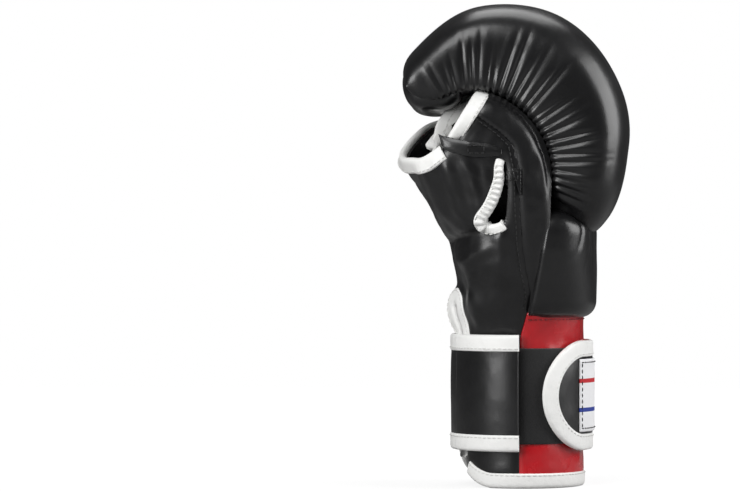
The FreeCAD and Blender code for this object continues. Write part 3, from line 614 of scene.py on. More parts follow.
def knuckle_pad():
    """Points and faces of the stuffed crescent, with gathers along both inner seams."""
    place, inner, outer = pad_spine()
    side, height = pad_ring()
    middle, half = (inner + outer) / 2, (outer - inner) / 2
    side = np.concatenate([side, -side[::-1][1:-1]])
    height = np.concatenate([height, height[::-1][1:-1]])
    tip = np.clip((place - 0.9) / 0.2, 0, 1)
    fall = np.clip((PAD_FOOT - outer[:, 1] - CURL[1]) / PAD_CORNER, 0, 0.96) * (place < 0.5)
    half_width = (PAD_HIGH[1] - PAD_LOW[1]) / 2 * (1 - 0.06 * tip**2.2)
    half_width = half_width - PAD_CORNER * (1 - np.sqrt(1 - fall**2))
    half_width = half_width * (0.985 + 0.015 * np.sin(np.clip(place, 0, 1) * math.pi))
    plane = middle[:, None] + half[:, None] * height[None, :, None] + CURL
    plane[..., 1] -= TIP_DROP * step(place, 0.78, 1.02)[:, None]
    hang = 1 - step(plane[..., 1], 158 * MM, 196 * MM)
    push = HEEL_HANG * hang - BACK_SINK * step(plane[..., 0], 10 * MM, 60 * MM)
    plane[..., 0] += push * (0.5 + 0.5 * height)[None, :]
    plane[..., 1] -= HEEL_HANG * hang**2
    grid = np.stack([plane[..., 0], half_width[:, None] * side[None, :], plane[..., 1]], axis=-1)
    normals = -grid_normals(grid, around=True)
    outwards = grid - np.stack([middle[:, 0] + CURL[0], 0 * place, middle[:, 1] + CURL[1]], axis=-1)[:, None]
    if np.sum(normals * outwards) < 0:
        normals = -normals

    draw = random.Random(11)
    depth = [draw.uniform(0.55, 1.0) for _ in range(PLEATS + 4)]
    reach = [draw.uniform(-0.05, 0.62) for _ in range(PLEATS + 4)]
    shift = [draw.uniform(-0.16, 0.16) for _ in range(PLEATS + 4)]
    lift = np.zeros(grid.shape[:2])
    run = place * PLEATS
    for number in range(-1, PLEATS + 2):
        for sign in (-1, 1):
            centre = number + (shift[number] if sign < 0 else shift[-number])
            lean = 0.35 * (height + 1) * draw.uniform(-1, 1)
            away = np.abs(run[:, None] - centre - lean[None, :])
            far = reach[number] if sign < 0 else reach[-number - 1]
            shape = np.exp(-(away / 0.2) ** 1.1) - 0.35 * bell(away, 0.5, 0.3)
            fade = (1 - step(height, far - 0.75, far + 0.12)) * step(height, -1.0, -0.94)
            fade = fade * (np.sign(side) == sign) * step(np.abs(side), 0.55, 0.9)
            lift -= depth[number] * shape * fade[None, :]
    ends = step(place, -0.09, 0.0) * (1 - step(place, 1.03, 1.1))
    swell = GATHER_DEPTH * lift * ends[:, None]
    # uneven stuffing, and small puckers near the inner seam
    swell += 0.55 * MM * rumple(grid, 34 * MM, 2.0)
    swell += 0.16 * MM * rumple(grid, 11 * MM, 9.0) * step(-height, -0.5, 0.3)[None, :]
    # a soft edge where the side turns into the outer face
    edge = step(place, 0.1, 0.24) * (1 - step(place, 0.5, 0.64))
    swell += 0.7 * MM * bell(height, 0.36, 0.07)[None, :] * edge[:, None]
    grid = grid + normals * swell[..., None]
    return grid, capped_faces(len(place), len(side))


# section of the stuffed lip as x and height, from its seam round the front and underneath
LIP_KNOTS = np.array([(-33.0, 228.6), (-48.0, 230.0), (-59.0, 236.5), (-64.9, 237.5), (-66.0, 231.5),
                      (-64.4, 224.6), (-60.8, 219.6), (-55.5, 216.8), (-49.5, 216.0), (-43.0, 216.4),
                      (-37.0, 218.4), (-33.2, 221.6), (-32.0, 225.4)]) * MM
LIP_MIDDLE = np.array([-49.0, 226.6]) * MM


def fingertip_lip(half_width, rows=73, columns=60):
    """Points and faces of the stuffed lip: flat under its seam, full below and blunt at both ends."""
    ring = closed_curve(LIP_KNOTS, columns)
    across = np.linspace(-1, 1, rows)
    across = np.sign(across) * (1 - (1 - np.abs(across)) ** 2)
    taper = np.maximum((1 - np.abs(across) ** 12) ** (1 / 3), 0.03)[:, None]
    x, z = (LIP_MIDDLE[axis] + (ring[None, :, axis] - LIP_MIDDLE[axis]) * taper for axis in (0, 1))
    grid = np.stack(np.broadcast_arrays(x, half_width * across[:, None], z), axis=-1)
    wave = 0.5 * MM * rumple(grid, 15 * MM, 5.0) + 0.2 * MM * rumple(grid, 6 * MM, 8.0)
    below = step(-grid[..., 2], -226 * MM, -221 * MM)
    grid[..., 2] += wave * below
    return grid, capped_faces(rows, columns)


# ---- padded back of the hand ---------------------------------------------------------------------


# side seams of the padded back, as height and x, and its half width at each height
BACK_SEAM = np.array([(98, 5.8), (102, 6.6), (115, 9.6), (130.5, 12.6), (150, 16.0), (170, 17.0),
                      (200, 17.5)]) * MM
BACK_WIDTH = np.array([(98, 50.4), (106, 52.6), (120, 56.8), (136, 61.0), (160, 62.5)]) * MM
BACK_HEAD = 160 * MM             # upper edge, hidden under the knuckle pad
FOOT_ROUND, FOOT_INSET = 9 * MM, 8.5 * MM      # rounding of the lower edge: its height and how far in
HEAD_ROUND, HEAD_INSET = 14 * MM, 15 * MM      # the same for the upper edge


def back_edge_x(z):
    """Side seams of the padded back, behind the gussets."""
    return np.interp(z, *BACK_SEAM.T)


def hand_back():
    """Points and faces of the padded back: full at the face, tucked in at the seams and under the pad."""
    low, high = BACK_LOW[2], BACK_HEAD
    heights = low + (high - low) * (1 - np.cos(np.linspace(0, math.pi, 46))) / 2
    turns = np.linspace(-math.pi / 2, math.pi / 2, 91)
    z = heights[:, None]
    foot = np.clip((low + FOOT_ROUND - heights) / FOOT_ROUND, 0, 1)
    head = np.clip((heights - high + HEAD_ROUND) / HEAD_ROUND, 0, 1)
    inset = (FOOT_INSET * (1 - np.sqrt(1 - foot**2)) + HEAD_INSET * (1 - np.sqrt(1 - head**2)))[:, None]
    edge = back_edge_x(z)
    depth = BACK_HIGH[0] + 0.6 * MM * np.sin((heights - low) / (high - low) * math.pi)[:, None] - edge - inset
    width = np.interp(heights, *BACK_WIDTH.T)[:, None] - 0.8 * inset
    power = 2 / 2.75
    x = edge + depth * np.abs(np.cos(turns)) ** power
    y = width * np.sign(np.sin(turns)) * np.abs(np.sin(turns)) ** power
    outer = np.stack(np.broadcast_arrays(x, y, z), axis=-1)
    normals = grid_normals(outer)
    if np.mean(normals[..., 0]) < 0:
        normals = -normals
    # short upright creases where the leather is drawn in under the knuckle pad
    creases = np.abs(np.sin(outer[..., 1] / (9 * MM) * math.pi + 1.7 * rumple(outer, 30 * MM, 4)))
    drawn = step(outer[..., 2], 118 * MM, 150 * MM)
    swell = 0.7 * MM * rumple(outer, 26 * MM, 3) - 1.1 * MM * drawn * (1 - creases) ** 3
    edge_fade = step(np.abs(turns), math.pi / 2, math.pi / 2 - 0.25)
    outer = outer + normals * (swell * edge_fade)[..., None]
    inner_turns = np.linspace(math.pi / 2, -math.pi / 2, 31)[1:-1]
    inner = np.stack(np.broadcast_arrays(
        edge + 0.2 * depth * np.cos(inner_turns), width * 0.97 * np.sin(inner_turns), z), axis=-1)
    grid = np.concatenate([outer, inner], axis=1)
    return grid, capped_faces(*grid.shape[:2])


# ---- finger tubes --------------------------------------------------------------------------------

PITCH = 32 * MM
TUBE_Y = -4 * MM
TUBE_RADIUS = 15.6 * MM
TUBE_BEND = PAD_INNER - 0.4 * MM - TUBE_RADIUS
TUBE_WALL = 2.2 * MM
TUBE_TAPE = 12.5 * MM            # the broad soft tape of the three inner openings
# each finger's place in pitches from the middle, and how far it reaches past the index tube in mm
FINGERS = {"index": (-1.5, 0.0), "middle": (-0.5, 11.5), "ring": (0.5, 10.5), "little": (1.5, 6.5)}


def tube_point(y, bend, around, radius):
    """A point on a tube: bend about the curl axis from straight back, around from the outer side."""
    reach = TUBE_BEND + radius * np.cos(around)
    return np.stack(np.broadcast_arrays(CURL[0] + reach * np.cos(bend), y + radius * np.sin(around),
                                        CURL[1] + reach * np.sin(bend)), axis=-1)


def tube_normal(bend, around):
    """Outward normal of a tube."""
    return np.stack(np.broadcast_arrays(np.cos(around) * np.cos(bend), np.sin(around),
                                        np.cos(around) * np.sin(bend)), axis=-1)


def tube_end(around, radius, reach, back=0.0):
    """The bend at which a tube meets the sloping plane of its opening."""
    lean = math.pi / 2 - OPENING_SLOPE
    offset = (OPENING[0] - reach) * math.sin(OPENING_SLOPE) - OPENING[1] * math.cos(OPENING_SLOPE) + back
    ratio = np.clip(offset / (TUBE_BEND + radius * np.cos(around)), -0.94, 1)
    return np.arccos(ratio) - lean


def finger_tube(name):
    """Points and faces of one finger's leather tube, and of the tape round its opening."""
    offset, reach = FINGERS[name]
    y = TUBE_Y + offset * PITCH
    around = np.arange(56) * 2 * math.pi / 56
    seed = offset * 3 + 8
    soft = 0.0 if name == "index" else 1.0
    wave = soft * (0.9 * np.sin(3 * around + seed) + 0.7 * np.sin(5 * around + 2 * seed)) * MM
    end = tube_end(around, TUBE_RADIUS, reach * MM)
    share = np.linspace(0, 1, 40)[:, None]
    rows = []
    for radius, order in ((TUBE_RADIUS, share), (TUBE_RADIUS - TUBE_WALL, share[::-1])):
        bend = -0.14 + (end - 0.05 + 0.14)[None, :] * order
        points = tube_point(y, bend, around[None, :], radius)
        wrinkle = (0.55 * rumple(points, 13 * MM, seed) + 0.3 * rumple(points, 6 * MM, seed + 1)) * MM
        lift = wrinkle + wave[None, :] * order**3
        rows.append(points + tube_normal(bend, around[None, :]) * lift[..., None])
    grid = np.concatenate(rows)
    tube = grid, grid_faces(80, 56, around=True, along=True)

    rail = tube_point(y, end, around, TUBE_RADIUS)
    normals = tube_normal(end, around)
    rail = rail + normals * (wave + (1.7 * MM if name == "index" else 0))[:, None]
    inward = -np.stack([-np.sin(end), 0 * end, np.cos(end)], axis=-1)
    if name != "index":
        crumple = 1.7 * np.sin(4 * around + seed) + 1.2 * np.sin(7 * around - seed)
        rail = rail - inward * (crumple * MM)[:, None]
    width, wall = (TAPE, TUBE_WALL + 1.2 * MM) if name == "index" else (TUBE_TAPE, TUBE_WALL)
    tape = sweep(rail, normals, inward, tape_profile(width, wall), closed=True)
    return tube, tape, (rail, normals, inward)


# ---- strap: rings about the cuff -----------------------------------------------------------------

STRAP_OUT, STRAP_WALL = 2.6 * MM, 2.4 * MM
STRAP_TAPE = 0.6 * MM
STRAP_MIDDLE = (STRAP_LOW[2] + STRAP_HIGH[2]) / 2
STRAP_HALF = (STRAP_HIGH[2] - STRAP_LOW[2]) / 2
STRAP_FACE = STRAP_OUT + STRAP_WALL      # outer face of the strap's leather, from the cuff
STRAP_TAPE_WIDTH = TAPE + 0.8 * MM
STRAP_SEWN = 6.2 * MM                    # stitch line, in from the strap's edge
# where the strap is sewn in, its folds and where its round end begins, in degrees from straight back
ROOT, PALM_FOLD, SIDE_FOLD, TAB_FOLD, TAB_START = 268, 148, 57, -43, -34.5
CUTS = (208, 102, 7)                      # where one length of leather ends under the next, in degrees


def ring_point(degrees, z, out):
    """A point on the oval about the cuff, at a true angle from straight back."""
    turn = np.radians(degrees)
    reach = 1 / np.hypot(np.cos(turn) / (CUFF_DEPTH + out), np.sin(turn) / (CUFF_WIDTH + out))
    return np.stack(np.broadcast_arrays(CUFF_X + reach * np.cos(turn), reach * np.sin(turn), z), axis=-1)


def ring_normal(degrees, out=STRAP_OUT):
    """Outward normal of that oval."""
    point = ring_point(degrees, 0.0, out)
    return unit(np.stack([(point[..., 0] - CUFF_X) / (CUFF_DEPTH + out) ** 2,
                          point[..., 1] / (CUFF_WIDTH + out) ** 2, 0 * point[..., 0]], axis=-1))


ARC_DEGREES = np.linspace(-130, 60, 1901)
ARC_LINE = ring_point(ARC_DEGREES, 0.0, STRAP_OUT + STRAP_WALL / 2)
ARC_RUN = run_along(ARC_LINE)


def degrees_past(run):
    """The angle that lies run metres past the start of the tab's round end, towards its tip."""
    start = np.interp(TAB_START, ARC_DEGREES, ARC_RUN)
    return np.interp(start - run, ARC_RUN, ARC_DEGREES)


def strap_top(degrees):
    """Upper edge of the strap, which is taller at the palm."""
    return STRAP_HIGH[2] + (PALM_STRAP_TOP - STRAP_HIGH[2]) * step(degrees, PALM_FOLD - 12, PALM_FOLD + 12)


def strap_sheet(start, stop):
    """Leather of the strap between two angles, full in the middle and thinner under the tapes."""
    degrees = np.linspace(start, stop, int(abs(stop - start)) + 1)
    rows = []
    for out, order in ((STRAP_FACE, 1), (STRAP_OUT, -1)):
        share = np.linspace(0, 1, 31)[::order]
        top = strap_top(degrees)[:, None]
        z = STRAP_LOW[2] + 0.6 * MM + (top - STRAP_LOW[2] - 1.2 * MM) * share[None, :]
        points = ring_point(degrees[:, None], z, out)
        lift = (0.25 * rumple(points, 22 * MM, 6) + 0.1 * rumple(points, 8 * MM, 3)) * MM
        bulge = 0.5 * MM * np.sin(math.pi * share)[None, :] * (1 if order > 0 else 0)
        rows.append(points + ring_normal(degrees)[:, None, :] * (lift + bulge)[..., None])
    grid = np.concatenate(rows, axis=1)
    return grid, capped_faces(*grid.shape[:2])


def strap_edge_tapes(start, stop):
    """Tapes along the upper and lower edge of the strap between two angles, and their stitch rails."""
    degrees = np.linspace(start, stop, int(abs(stop - start)) + 1)
    normals = ring_normal(degrees)
    tapes, rails = [], []
    for z, way in ((strap_top(degrees), -1), (0 * degrees + STRAP_LOW[2], 1)):
        rail = ring_point(degrees, z, STRAP_FACE)
        inward = np.tile([0.0, 0.0, float(way)], (len(degrees), 1))
        tapes.append(sweep(rail, normals, inward, tape_profile(STRAP_TAPE_WIDTH, STRAP_WALL, STRAP_TAPE)))
        rails.append((rail + inward * STRAP_SEWN + normals * STRAP_TAPE, normals))
    return join_meshes(tapes), rails


def tab_outline(inset, out, count=40, level=30):
    """Points and normals of the strap's end: along the top, round the tab and back along the bottom."""
    tip = np.linspace(math.pi / 2, -math.pi / 2, count)
    radius = STRAP_HALF - inset
    run = np.concatenate([np.zeros(level), radius * np.cos(tip), np.zeros(level)])
    straight = np.linspace(CUTS[2], TAB_START, level + 1)[:-1]
    degrees = degrees_past(run)
    degrees[:level], degrees[-level:] = straight, straight[::-1]
    z = STRAP_MIDDLE + np.concatenate([np.full(level, radius), radius * np.sin(tip), np.full(level, -radius)])
    return ring_point(degrees, z, out), ring_normal(degrees)


def cut_patch(points, normals, edge, wall):
    """A grid of points kept where edge is above 0, given a wall on its inner side."""
    rows = np.concatenate([points, normals, edge[..., None]], axis=-1).reshape(-1, 7)
    rows, faces = trim(rows, grid_faces(*edge.shape), rows[:, 6])
    return thicken(rows[:, :3], faces, unit(rows[:, 3:6]), wall)


def tab_sheet():
    """Leather of the strap's end, cut round at the tab."""
    before = np.interp(CUTS[2], ARC_DEGREES, ARC_RUN) - np.interp(TAB_START, ARC_DEGREES, ARC_RUN)
    run, height = np.meshgrid(np.linspace(-before, STRAP_HALF, 70), np.linspace(-STRAP_HALF, STRAP_HALF, 61))
    degrees = degrees_past(run)
    points = ring_point(degrees, STRAP_MIDDLE + height, STRAP_FACE)
    normals = ring_normal(degrees)
    edge = STRAP_HALF - 0.6 * MM - np.where(run > 0, np.hypot(run, height), np.abs(height))
    lift = (0.5 * step(edge, 0, 14 * MM) + 0.25 * rumple(points, 22 * MM, 6)
            + 0.1 * rumple(points, 8 * MM, 3)) * MM
    return cut_patch(points + normals * lift[..., None], normals, edge, STRAP_WALL)


def slab(degrees, heights, out, wall, rounding=0.0):
    """A thin patch that follows the cuff's oval, its face a little rounded towards its edges."""
    degree, z = np.meshgrid(degrees, heights)
    edge = np.minimum(np.minimum(z - heights[0], heights[-1] - z),
                      np.minimum(degree - degrees.min(), degrees.max() - degree) * 0.75 * MM)
    drop = rounding * (1 - step(edge, 0, 2.5 * rounding + 1e-6))
    points = ring_point(degree, z, out + wall)
    normals = ring_normal(degree)
    points = points - normals * drop[..., None]
    faces = grid_faces(*degree.shape)
    return thicken(points.reshape(-1, 3), faces, normals.reshape(-1, 3), wall - rounding)


# ---- finishes ------------------------------------------------------------------------------------


def add(tree, kind, inputs=None, **settings):
    """A shader node with its settings; an input is a value or another node's output."""
    made = tree.nodes.new(kind)
    for key, value in settings.items():
        setattr(made, key, value)
    for key, value in (inputs or {}).items():
        if isinstance(value, bpy.types.NodeSocket):
            tree.links.new(value, made.inputs[key])
        else:
            made.inputs[key].default_value = value
    return made


def shade(tree, factor, *stops):
    """A colour ramp through (place, colour) stops."""
    ramp = add(tree, "ShaderNodeValToRGB", {"Fac": factor})
    elements = ramp.color_ramp.elements
    while len(elements) < len(stops):
        elements.new(0.5)
    for element, (place, colour) in zip(elements, stops):
        element.position, element.color = place, (*colour, 1.0)
    return ramp.outputs["Color"]


def finish_of(name, roughness, **sockets):
    """A new material with one shader: its node tree, its shader and where it is in the object."""
    made = bpy.data.materials.new(name)
    made.use_nodes = True
    tree = made.node_tree
    shader = tree.nodes["Principled BSDF"]
    shader.inputs["Roughness"].default_value = roughness
    for key, value in sockets.items():
        shader.inputs[key.replace("_", " ")].default_value = value
    place = add(tree, "ShaderNodeTexCoord").outputs["Object"]
    return made, tree, shader, place


def pattern(tree, place, kind, per_mm, **inputs):
    """A noise or cell pattern with so many features to the millimetre."""
    settings = {"feature": "DISTANCE_TO_EDGE"} if kind == "Voronoi" else {}
    made = add(tree, f"ShaderNodeTex{kind}", {"Vector": place, "Scale": per_mm / MM, **inputs}, **settings)
    return made.outputs["Distance" if kind == "Voronoi" else "Fac"]


def bands(tree, place, pitch, way, **inputs):
    """Even bands at that pitch in metres; a wave of scale 1 repeats every 0.314 m."""
    wave = {"Vector": place, "Scale": 0.314 / pitch, **inputs}
    return add(tree, "ShaderNodeTexWave", wave, bands_direction=way).outputs["Fac"]


def crossed_rows(tree, place, pitch, **inputs):
    """Bumps at the crossings of two sets of bands, one upright and one level."""
    level, upright = (bands(tree, place, pitch, way, **inputs) for way in ("Z", "Y"))
    return add(tree, "ShaderNodeMath", {0: level, 1: upright}, operation="MULTIPLY").outputs["Value"]


def bump(tree, shader, layers):
    """Layers of bump, each (height, depth in metres), one over the other."""
    normal = None
    for height, depth in layers:
        inputs = {"Height": height, "Distance": depth, "Strength": 1.0}
        if normal is not None:
            inputs["Normal"] = normal
        normal = add(tree, "ShaderNodeBump", inputs).outputs["Normal"]
    tree.links.new(normal, shader.inputs["Normal"])


def coated_leather(name, colour, low, high, grain, coat):
    """Split leather with a smooth coloured coat, pressed with a fine grain.

    The coat gives soft broad highlights, the grain breaks them up, and handling leaves duller clouds.
    """
    made, tree, shader, place = finish_of(name, 0.4, Coat_Weight=coat, Coat_Roughness=0.2, Coat_IOR=1.45)
    cloud = pattern(tree, place, "Noise", 1 / 28, Detail=4.0, Roughness=0.6)
    dark, light = tuple(c * 0.82 for c in colour), tuple(min(1, c * 1.22) for c in colour)
    tree.links.new(shade(tree, cloud, (0.32, dark), (0.7, light)), shader.inputs["Base Color"])
    dull = add(tree, "ShaderNodeMapRange", {"Value": cloud, "From Min": 0.3, "From Max": 0.7,
                                            "To Min": low, "To Max": high})
    tree.links.new(dull.outputs["Result"], shader.inputs["Roughness"])
    pebbles = pattern(tree, place, "Voronoi", 1 / 1.1)      # grain about 0.6 mm, drawn coarser to show
    puckers = pattern(tree, place, "Noise", 1 / 4.5, Detail=3.0, Roughness=0.55)
    bump(tree, shader, [(pebbles, grain), (puckers, 2.2 * grain)])
    return made


def folded_tape(name, colour):
    """Synthetic leather binding tape, wiped and matt, a little soiled where it is handled."""
    made, tree, shader, place = finish_of(name, 0.5)
    soil = pattern(tree, place, "Noise", 1 / 9, Detail=5.0, Roughness=0.65)
    grey = tuple(c * 0.92 for c in colour)
    tree.links.new(shade(tree, soil, (0.28, grey), (0.46, colour)), shader.inputs["Base Color"])
    grain = pattern(tree, place, "Voronoi", 1 / 0.9)        # grain about 0.5 mm, drawn coarser to show
    cockle = pattern(tree, place, "Noise", 1 / 3.5, Detail=2.0)
    bump(tree, shader, [(grain, 0.05 * MM), (cockle, 0.25 * MM)])
    return made


def loop_pile(name, colour):
    """Knitted loop pile of a hook and loop closure: no gloss, and a soft edge from its fuzz."""
    made, tree, shader, place = finish_of(name, 0.95, Sheen_Weight=0.25, Sheen_Roughness=0.5)
    fuzz = pattern(tree, place, "Noise", 1 / 0.7, Detail=3.0, Roughness=0.8)
    deep, lit = tuple(c * 0.4 for c in colour), tuple(c * 1.9 for c in colour)
    tree.links.new(shade(tree, fuzz, (0.3, deep), (0.7, lit)), shader.inputs["Base Color"])
    bump(tree, shader, [(fuzz, 0.35 * MM)])
    return made


def woven(name, colour, thread, depth, **sockets):
    """Plain woven cloth: two sets of threads that cross, drawn coarse enough to show."""
    made, tree, shader, place = finish_of(name, 0.8, **sockets)
    weave = crossed_rows(tree, place, thread, Distortion=0.3)
    dark = tuple(c * 0.8 for c in colour)
    tree.links.new(shade(tree, weave, (0.0, dark), (0.6, colour)), shader.inputs["Base Color"])
    bump(tree, shader, [(weave, depth)])
    return made, tree, shader, place


def label_cloth(name, colour, red, blue):
    """Woven label of fine white thread with two plain coloured bands."""
    made, tree, shader, place = woven(name, colour, 0.7 * MM, 0.12 * MM)
    height = add(tree, "ShaderNodeSeparateXYZ", {"Vector": place}).outputs["Z"]
    share = add(tree, "ShaderNodeMapRange", {"Value": height, "From Min": STRAP_MIDDLE - 21 * MM,
                                             "From Max": STRAP_MIDDLE + 21 * MM}).outputs["Result"]
    ramp = add(tree, "ShaderNodeValToRGB", {"Fac": share})
    ramp.color_ramp.interpolation = "CONSTANT"
    stops = [(0.0, colour), (0.27, blue), (0.33, colour), (0.67, red), (0.73, colour)]
    while len(ramp.color_ramp.elements) < len(stops):
        ramp.color_ramp.elements.new(0.5)
    for element, (position, tint) in zip(ramp.color_ramp.elements, stops):
        element.position, element.color = position, (*tint, 1.0)
    tree.links.new(ramp.outputs["Color"], shader.inputs["Base Color"])
    return made


def hook_sheet(name, colour):
    """Moulded nylon sheet set with rows of fine hooks, which catch the light as rows of dots."""
    made, tree, shader, place = finish_of(name, 0.55)
    shader.inputs["Base Color"].default_value = (*colour, 1.0)
    bump(tree, shader, [(crossed_rows(tree, place, 1.6 * MM), 0.5 * MM)])
    return made


def sewing_thread(name, colour):
    """Bonded nylon thread, faintly shiny, its twist seen as fine ribs."""
    made, tree, shader, place = finish_of(name, 0.45)
    shader.inputs["Base Color"].default_value = (*colour, 1.0)
    twist = bands(tree, place, 0.4 * MM, "DIAGONAL")
    bump(tree, shader, [(twist, 0.08 * MM)])
    return made


# ---- what a user may change ----------------------------------------------------------------------


def colour_prop(name, description, code):
    """A colour property that starts from an sRGB hex code."""
    return FloatVectorProperty(name=name, description=description, subtype="COLOR",
                               default=linear(code), min=0, max=1)


class GloveColours(PropertyGroup):
    """Colours of the glove's materials."""

    black: colour_prop("Black leather", "Pads, palm, finger tubes and strap", "#151516")
    red: colour_prop("Red leather", "Cuff and little finger side", "#b3101a")
    white: colour_prop("White tape", "Binding tape along the edges", "#f4f4f2")
    lining: colour_prop("Lining", "Cloth inside the hand and cuff", "#151516")
    pile: colour_prop("Loop pile", "Loop panel on the cuff", "#0f0f10")
    hooks: colour_prop("Hooks", "Hook patches inside the strap", "#0d0d0e")
    label: colour_prop("Label", "Woven label on the strap", "#f1f1f3")
    label_red: colour_prop("Upper band", "Upper band of the label", "#c2202b")
    label_blue: colour_prop("Lower band", "Lower band of the label", "#2a3f97")


class GloveSizes(PropertyGroup):
    """Sizes of the sewn details, in metres."""

    stitch_pitch: FloatProperty(name="Stitch pitch", description="From one stitch to the next",
                                default=3.2 * MM, min=1 * MM, unit="LENGTH")
    stitch_length: FloatProperty(name="Stitch length", description="Thread that shows in each stitch",
                                 default=2.3 * MM, min=0.5 * MM, unit="LENGTH")
    rib_count: IntProperty(name="Thumb tape ribs", description="Puckers in the tape round the thumb hole",
                           default=17, min=0)
    rib_depth: FloatProperty(name="Rib depth", description="Depth of those puckers", default=1.3 * MM,
                             min=0, unit="LENGTH")


FINISHES = {}


def finish(key):
    """The material for one of the glove's finishes, made once."""
    if key not in FINISHES:
        tint = bpy.context.scene.glove_colours
        makers = {
            "black_leather": lambda: coated_leather(
                "coated_leather_black", tint.black[:], low=0.28, high=0.38, grain=0.035 * MM, coat=0.2),
            "red_leather": lambda: coated_leather(
                "coated_leather_red", tint.red[:], low=0.2, high=0.3, grain=0.03 * MM, coat=0.5),
            "white_tape": lambda: folded_tape("folded_tape_white", tint.white[:]),
            "lining_fabric": lambda: woven("lining_cloth", tint.lining[:], 0.9 * MM, 0.1 * MM)[0],
            "loop_fabric": lambda: loop_pile("knitted_loop_pile", tint.pile[:]),
            "hook_plastic": lambda: hook_sheet("moulded_nylon_hooks", tint.hooks[:]),
            "woven_label": lambda: label_cloth(
                "woven_label_cloth", tint.label[:], tint.label_red[:], tint.label_blue[:]),
            "black_thread": lambda: sewing_thread("nylon_thread_black", linear("#1c1c1c")),
            "white_thread": lambda: sewing_thread("nylon_thread_white", linear("#e4e4e1")),
            "red_thread": lambda: sewing_thread("nylon_thread_red", linear("#6d0910")),
        }
        FINISHES[key] = makers[key]()
    return FINISHES[key]


def leather(name, parts, key="black_leather", body="glove"):
    """A piece of leather, cloth or tape in one of the glove's finishes."""
    made_of = join_meshes(parts) if isinstance(parts, list) else parts
    return piece(name, *made_of, finish(key), body, key)


def stitches(name, rows, thread, key, body="glove"):
    """Rows of stitches in one thread; a row is (points, normals), and a third entry closes it."""
    sizes = bpy.context.scene.glove_sizes
    parts = [stitch_row(*row[:2], sizes.stitch_pitch, sizes.stitch_length, closed=len(row) > 2)
             for row in rows]
    return piece(name, *join_meshes(parts), finish(thread), body, key)


# ---- operators: one for each piece or group of like pieces ---------------------------------------


class GLOVE_OT_knuckle_pad(Operator):
    """Builds the stuffed crescent over the knuckles and the lip under its fingertip end"""

    bl_idname = "glove.knuckle_pad"
    bl_label = "Knuckle pad"

    def execute(self, context):
        pad = leather("knuckle_pad", knuckle_pad())
        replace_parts(pad, "knuckle_pad_cover", "knuckle_foam_inner", "knuckle_foam_outer")
        low, high = corners("fingertip_lip")
        lip = leather("fingertip_lip_roll", fingertip_lip((high[1] - low[1]) / 2 + 3 * MM))
        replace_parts(lip, "fingertip_lip")
        return {"FINISHED"}


class GLOVE_OT_hand_back(Operator):
    """Builds the padded back of the hand and the gussets at its sides"""

    bl_idname = "glove.hand_back"
    bl_label = "Back of the hand"

    def execute(self, context):
        pad = leather("hand_back_pad", hand_back())
        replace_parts(pad, "hand_back_cover", "hand_back_foam", "hand_back_liner")
        heights = np.arange(99 * MM, 229 * MM, SPACING)
        for name, node, middle in (("gusset_thumb", "thumb_side_gusset", 1.5 * math.pi + 0.75),
                                   ("gusset_little", "little_side_gusset", 0.5 * math.pi - 0.75)):
            turns = np.sort(middle + np.sign(middle - math.pi) * np.linspace(-1.5, 0.35, 140))
            fields = [lambda p: -seam_distance(p), pad_distance, behind_opening,
                      lambda p: back_edge_x(p[..., 2]) + 3 * MM - p[..., 0]]
            sheet = leather_sheet(turns, heights, fields, seed=middle, crinkle=0.7 * MM, roll=1.2 * MM)
            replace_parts(leather(name, sheet), node)
        return {"FINISHED"}


def mouth_rail():
    """The palm's free edge from the thumb side to the little finger side: points and normals."""
    turns = np.linspace(2 * math.pi - 1.2, 1.2, 190)
    z = np.full_like(turns, 190 * MM)
    for _ in range(40):
        z = 0.5 * z + 0.5 * mouth_z(skin(turns, z)[:, 1])
    rail = skin(turns, z)
    keep = np.where(rail[:, 1] < -55 * MM, rail[:, 0] < -42 * MM, rail[:, 0] < -16 * MM)
    return rail[keep], skin_normal(turns, z)[keep]


def thumb_rail(count=320):
    """The thumb hole's edge, from its top round the palm side: points, normals and shares round it."""
    edge = closed_curve(HOLE_KNOTS, count)
    turns = turn_at_x(edge[:, 0], edge[:, 1], -1)
    return skin(turns, edge[:, 1]), skin_normal(turns, edge[:, 1]), np.arange(count) / count


def slit_rail():
    """The slit's edge: up the little finger side, round its top and down the thumb side."""
    low = corners("slit_binding")[0][2] + 11 * MM
    rise = np.linspace(low, SLIT_TOP - SLIT_GAP / 2, 56)
    turn = np.linspace(0, math.pi, 20)[1:-1]
    y = np.concatenate([np.full(56, SLIT_GAP / 2), SLIT_GAP / 2 * np.cos(turn), np.full(56, -SLIT_GAP / 2)])
    z = np.concatenate([rise, SLIT_TOP - SLIT_GAP / 2 + SLIT_GAP / 2 * np.sin(turn), rise[::-1]])
    turns = turn_at_y(SLIT_Y + y, z)
    return skin(turns, z), skin_normal(turns, z)


def outwards_of(rail, inward, middle):
    """inward, turned where needed so that it points away from the opening's middle."""
    if np.sum(inward * (rail - middle)) < 0:
        return -inward
    return inward


def mouth_tape():
    """The tape round the palm's free edge, and its row of stitches."""
    rail, normals = mouth_rail()
    inward = edge_frame(rail, normals)
    inward = inward * np.sign(-np.mean(inward[:, 2]))
    return sweep(rail, normals, inward, tape_profile(TAPE, WALL)), (
        rail + inward * TAPE_SEWN + normals * PROUD, normals)


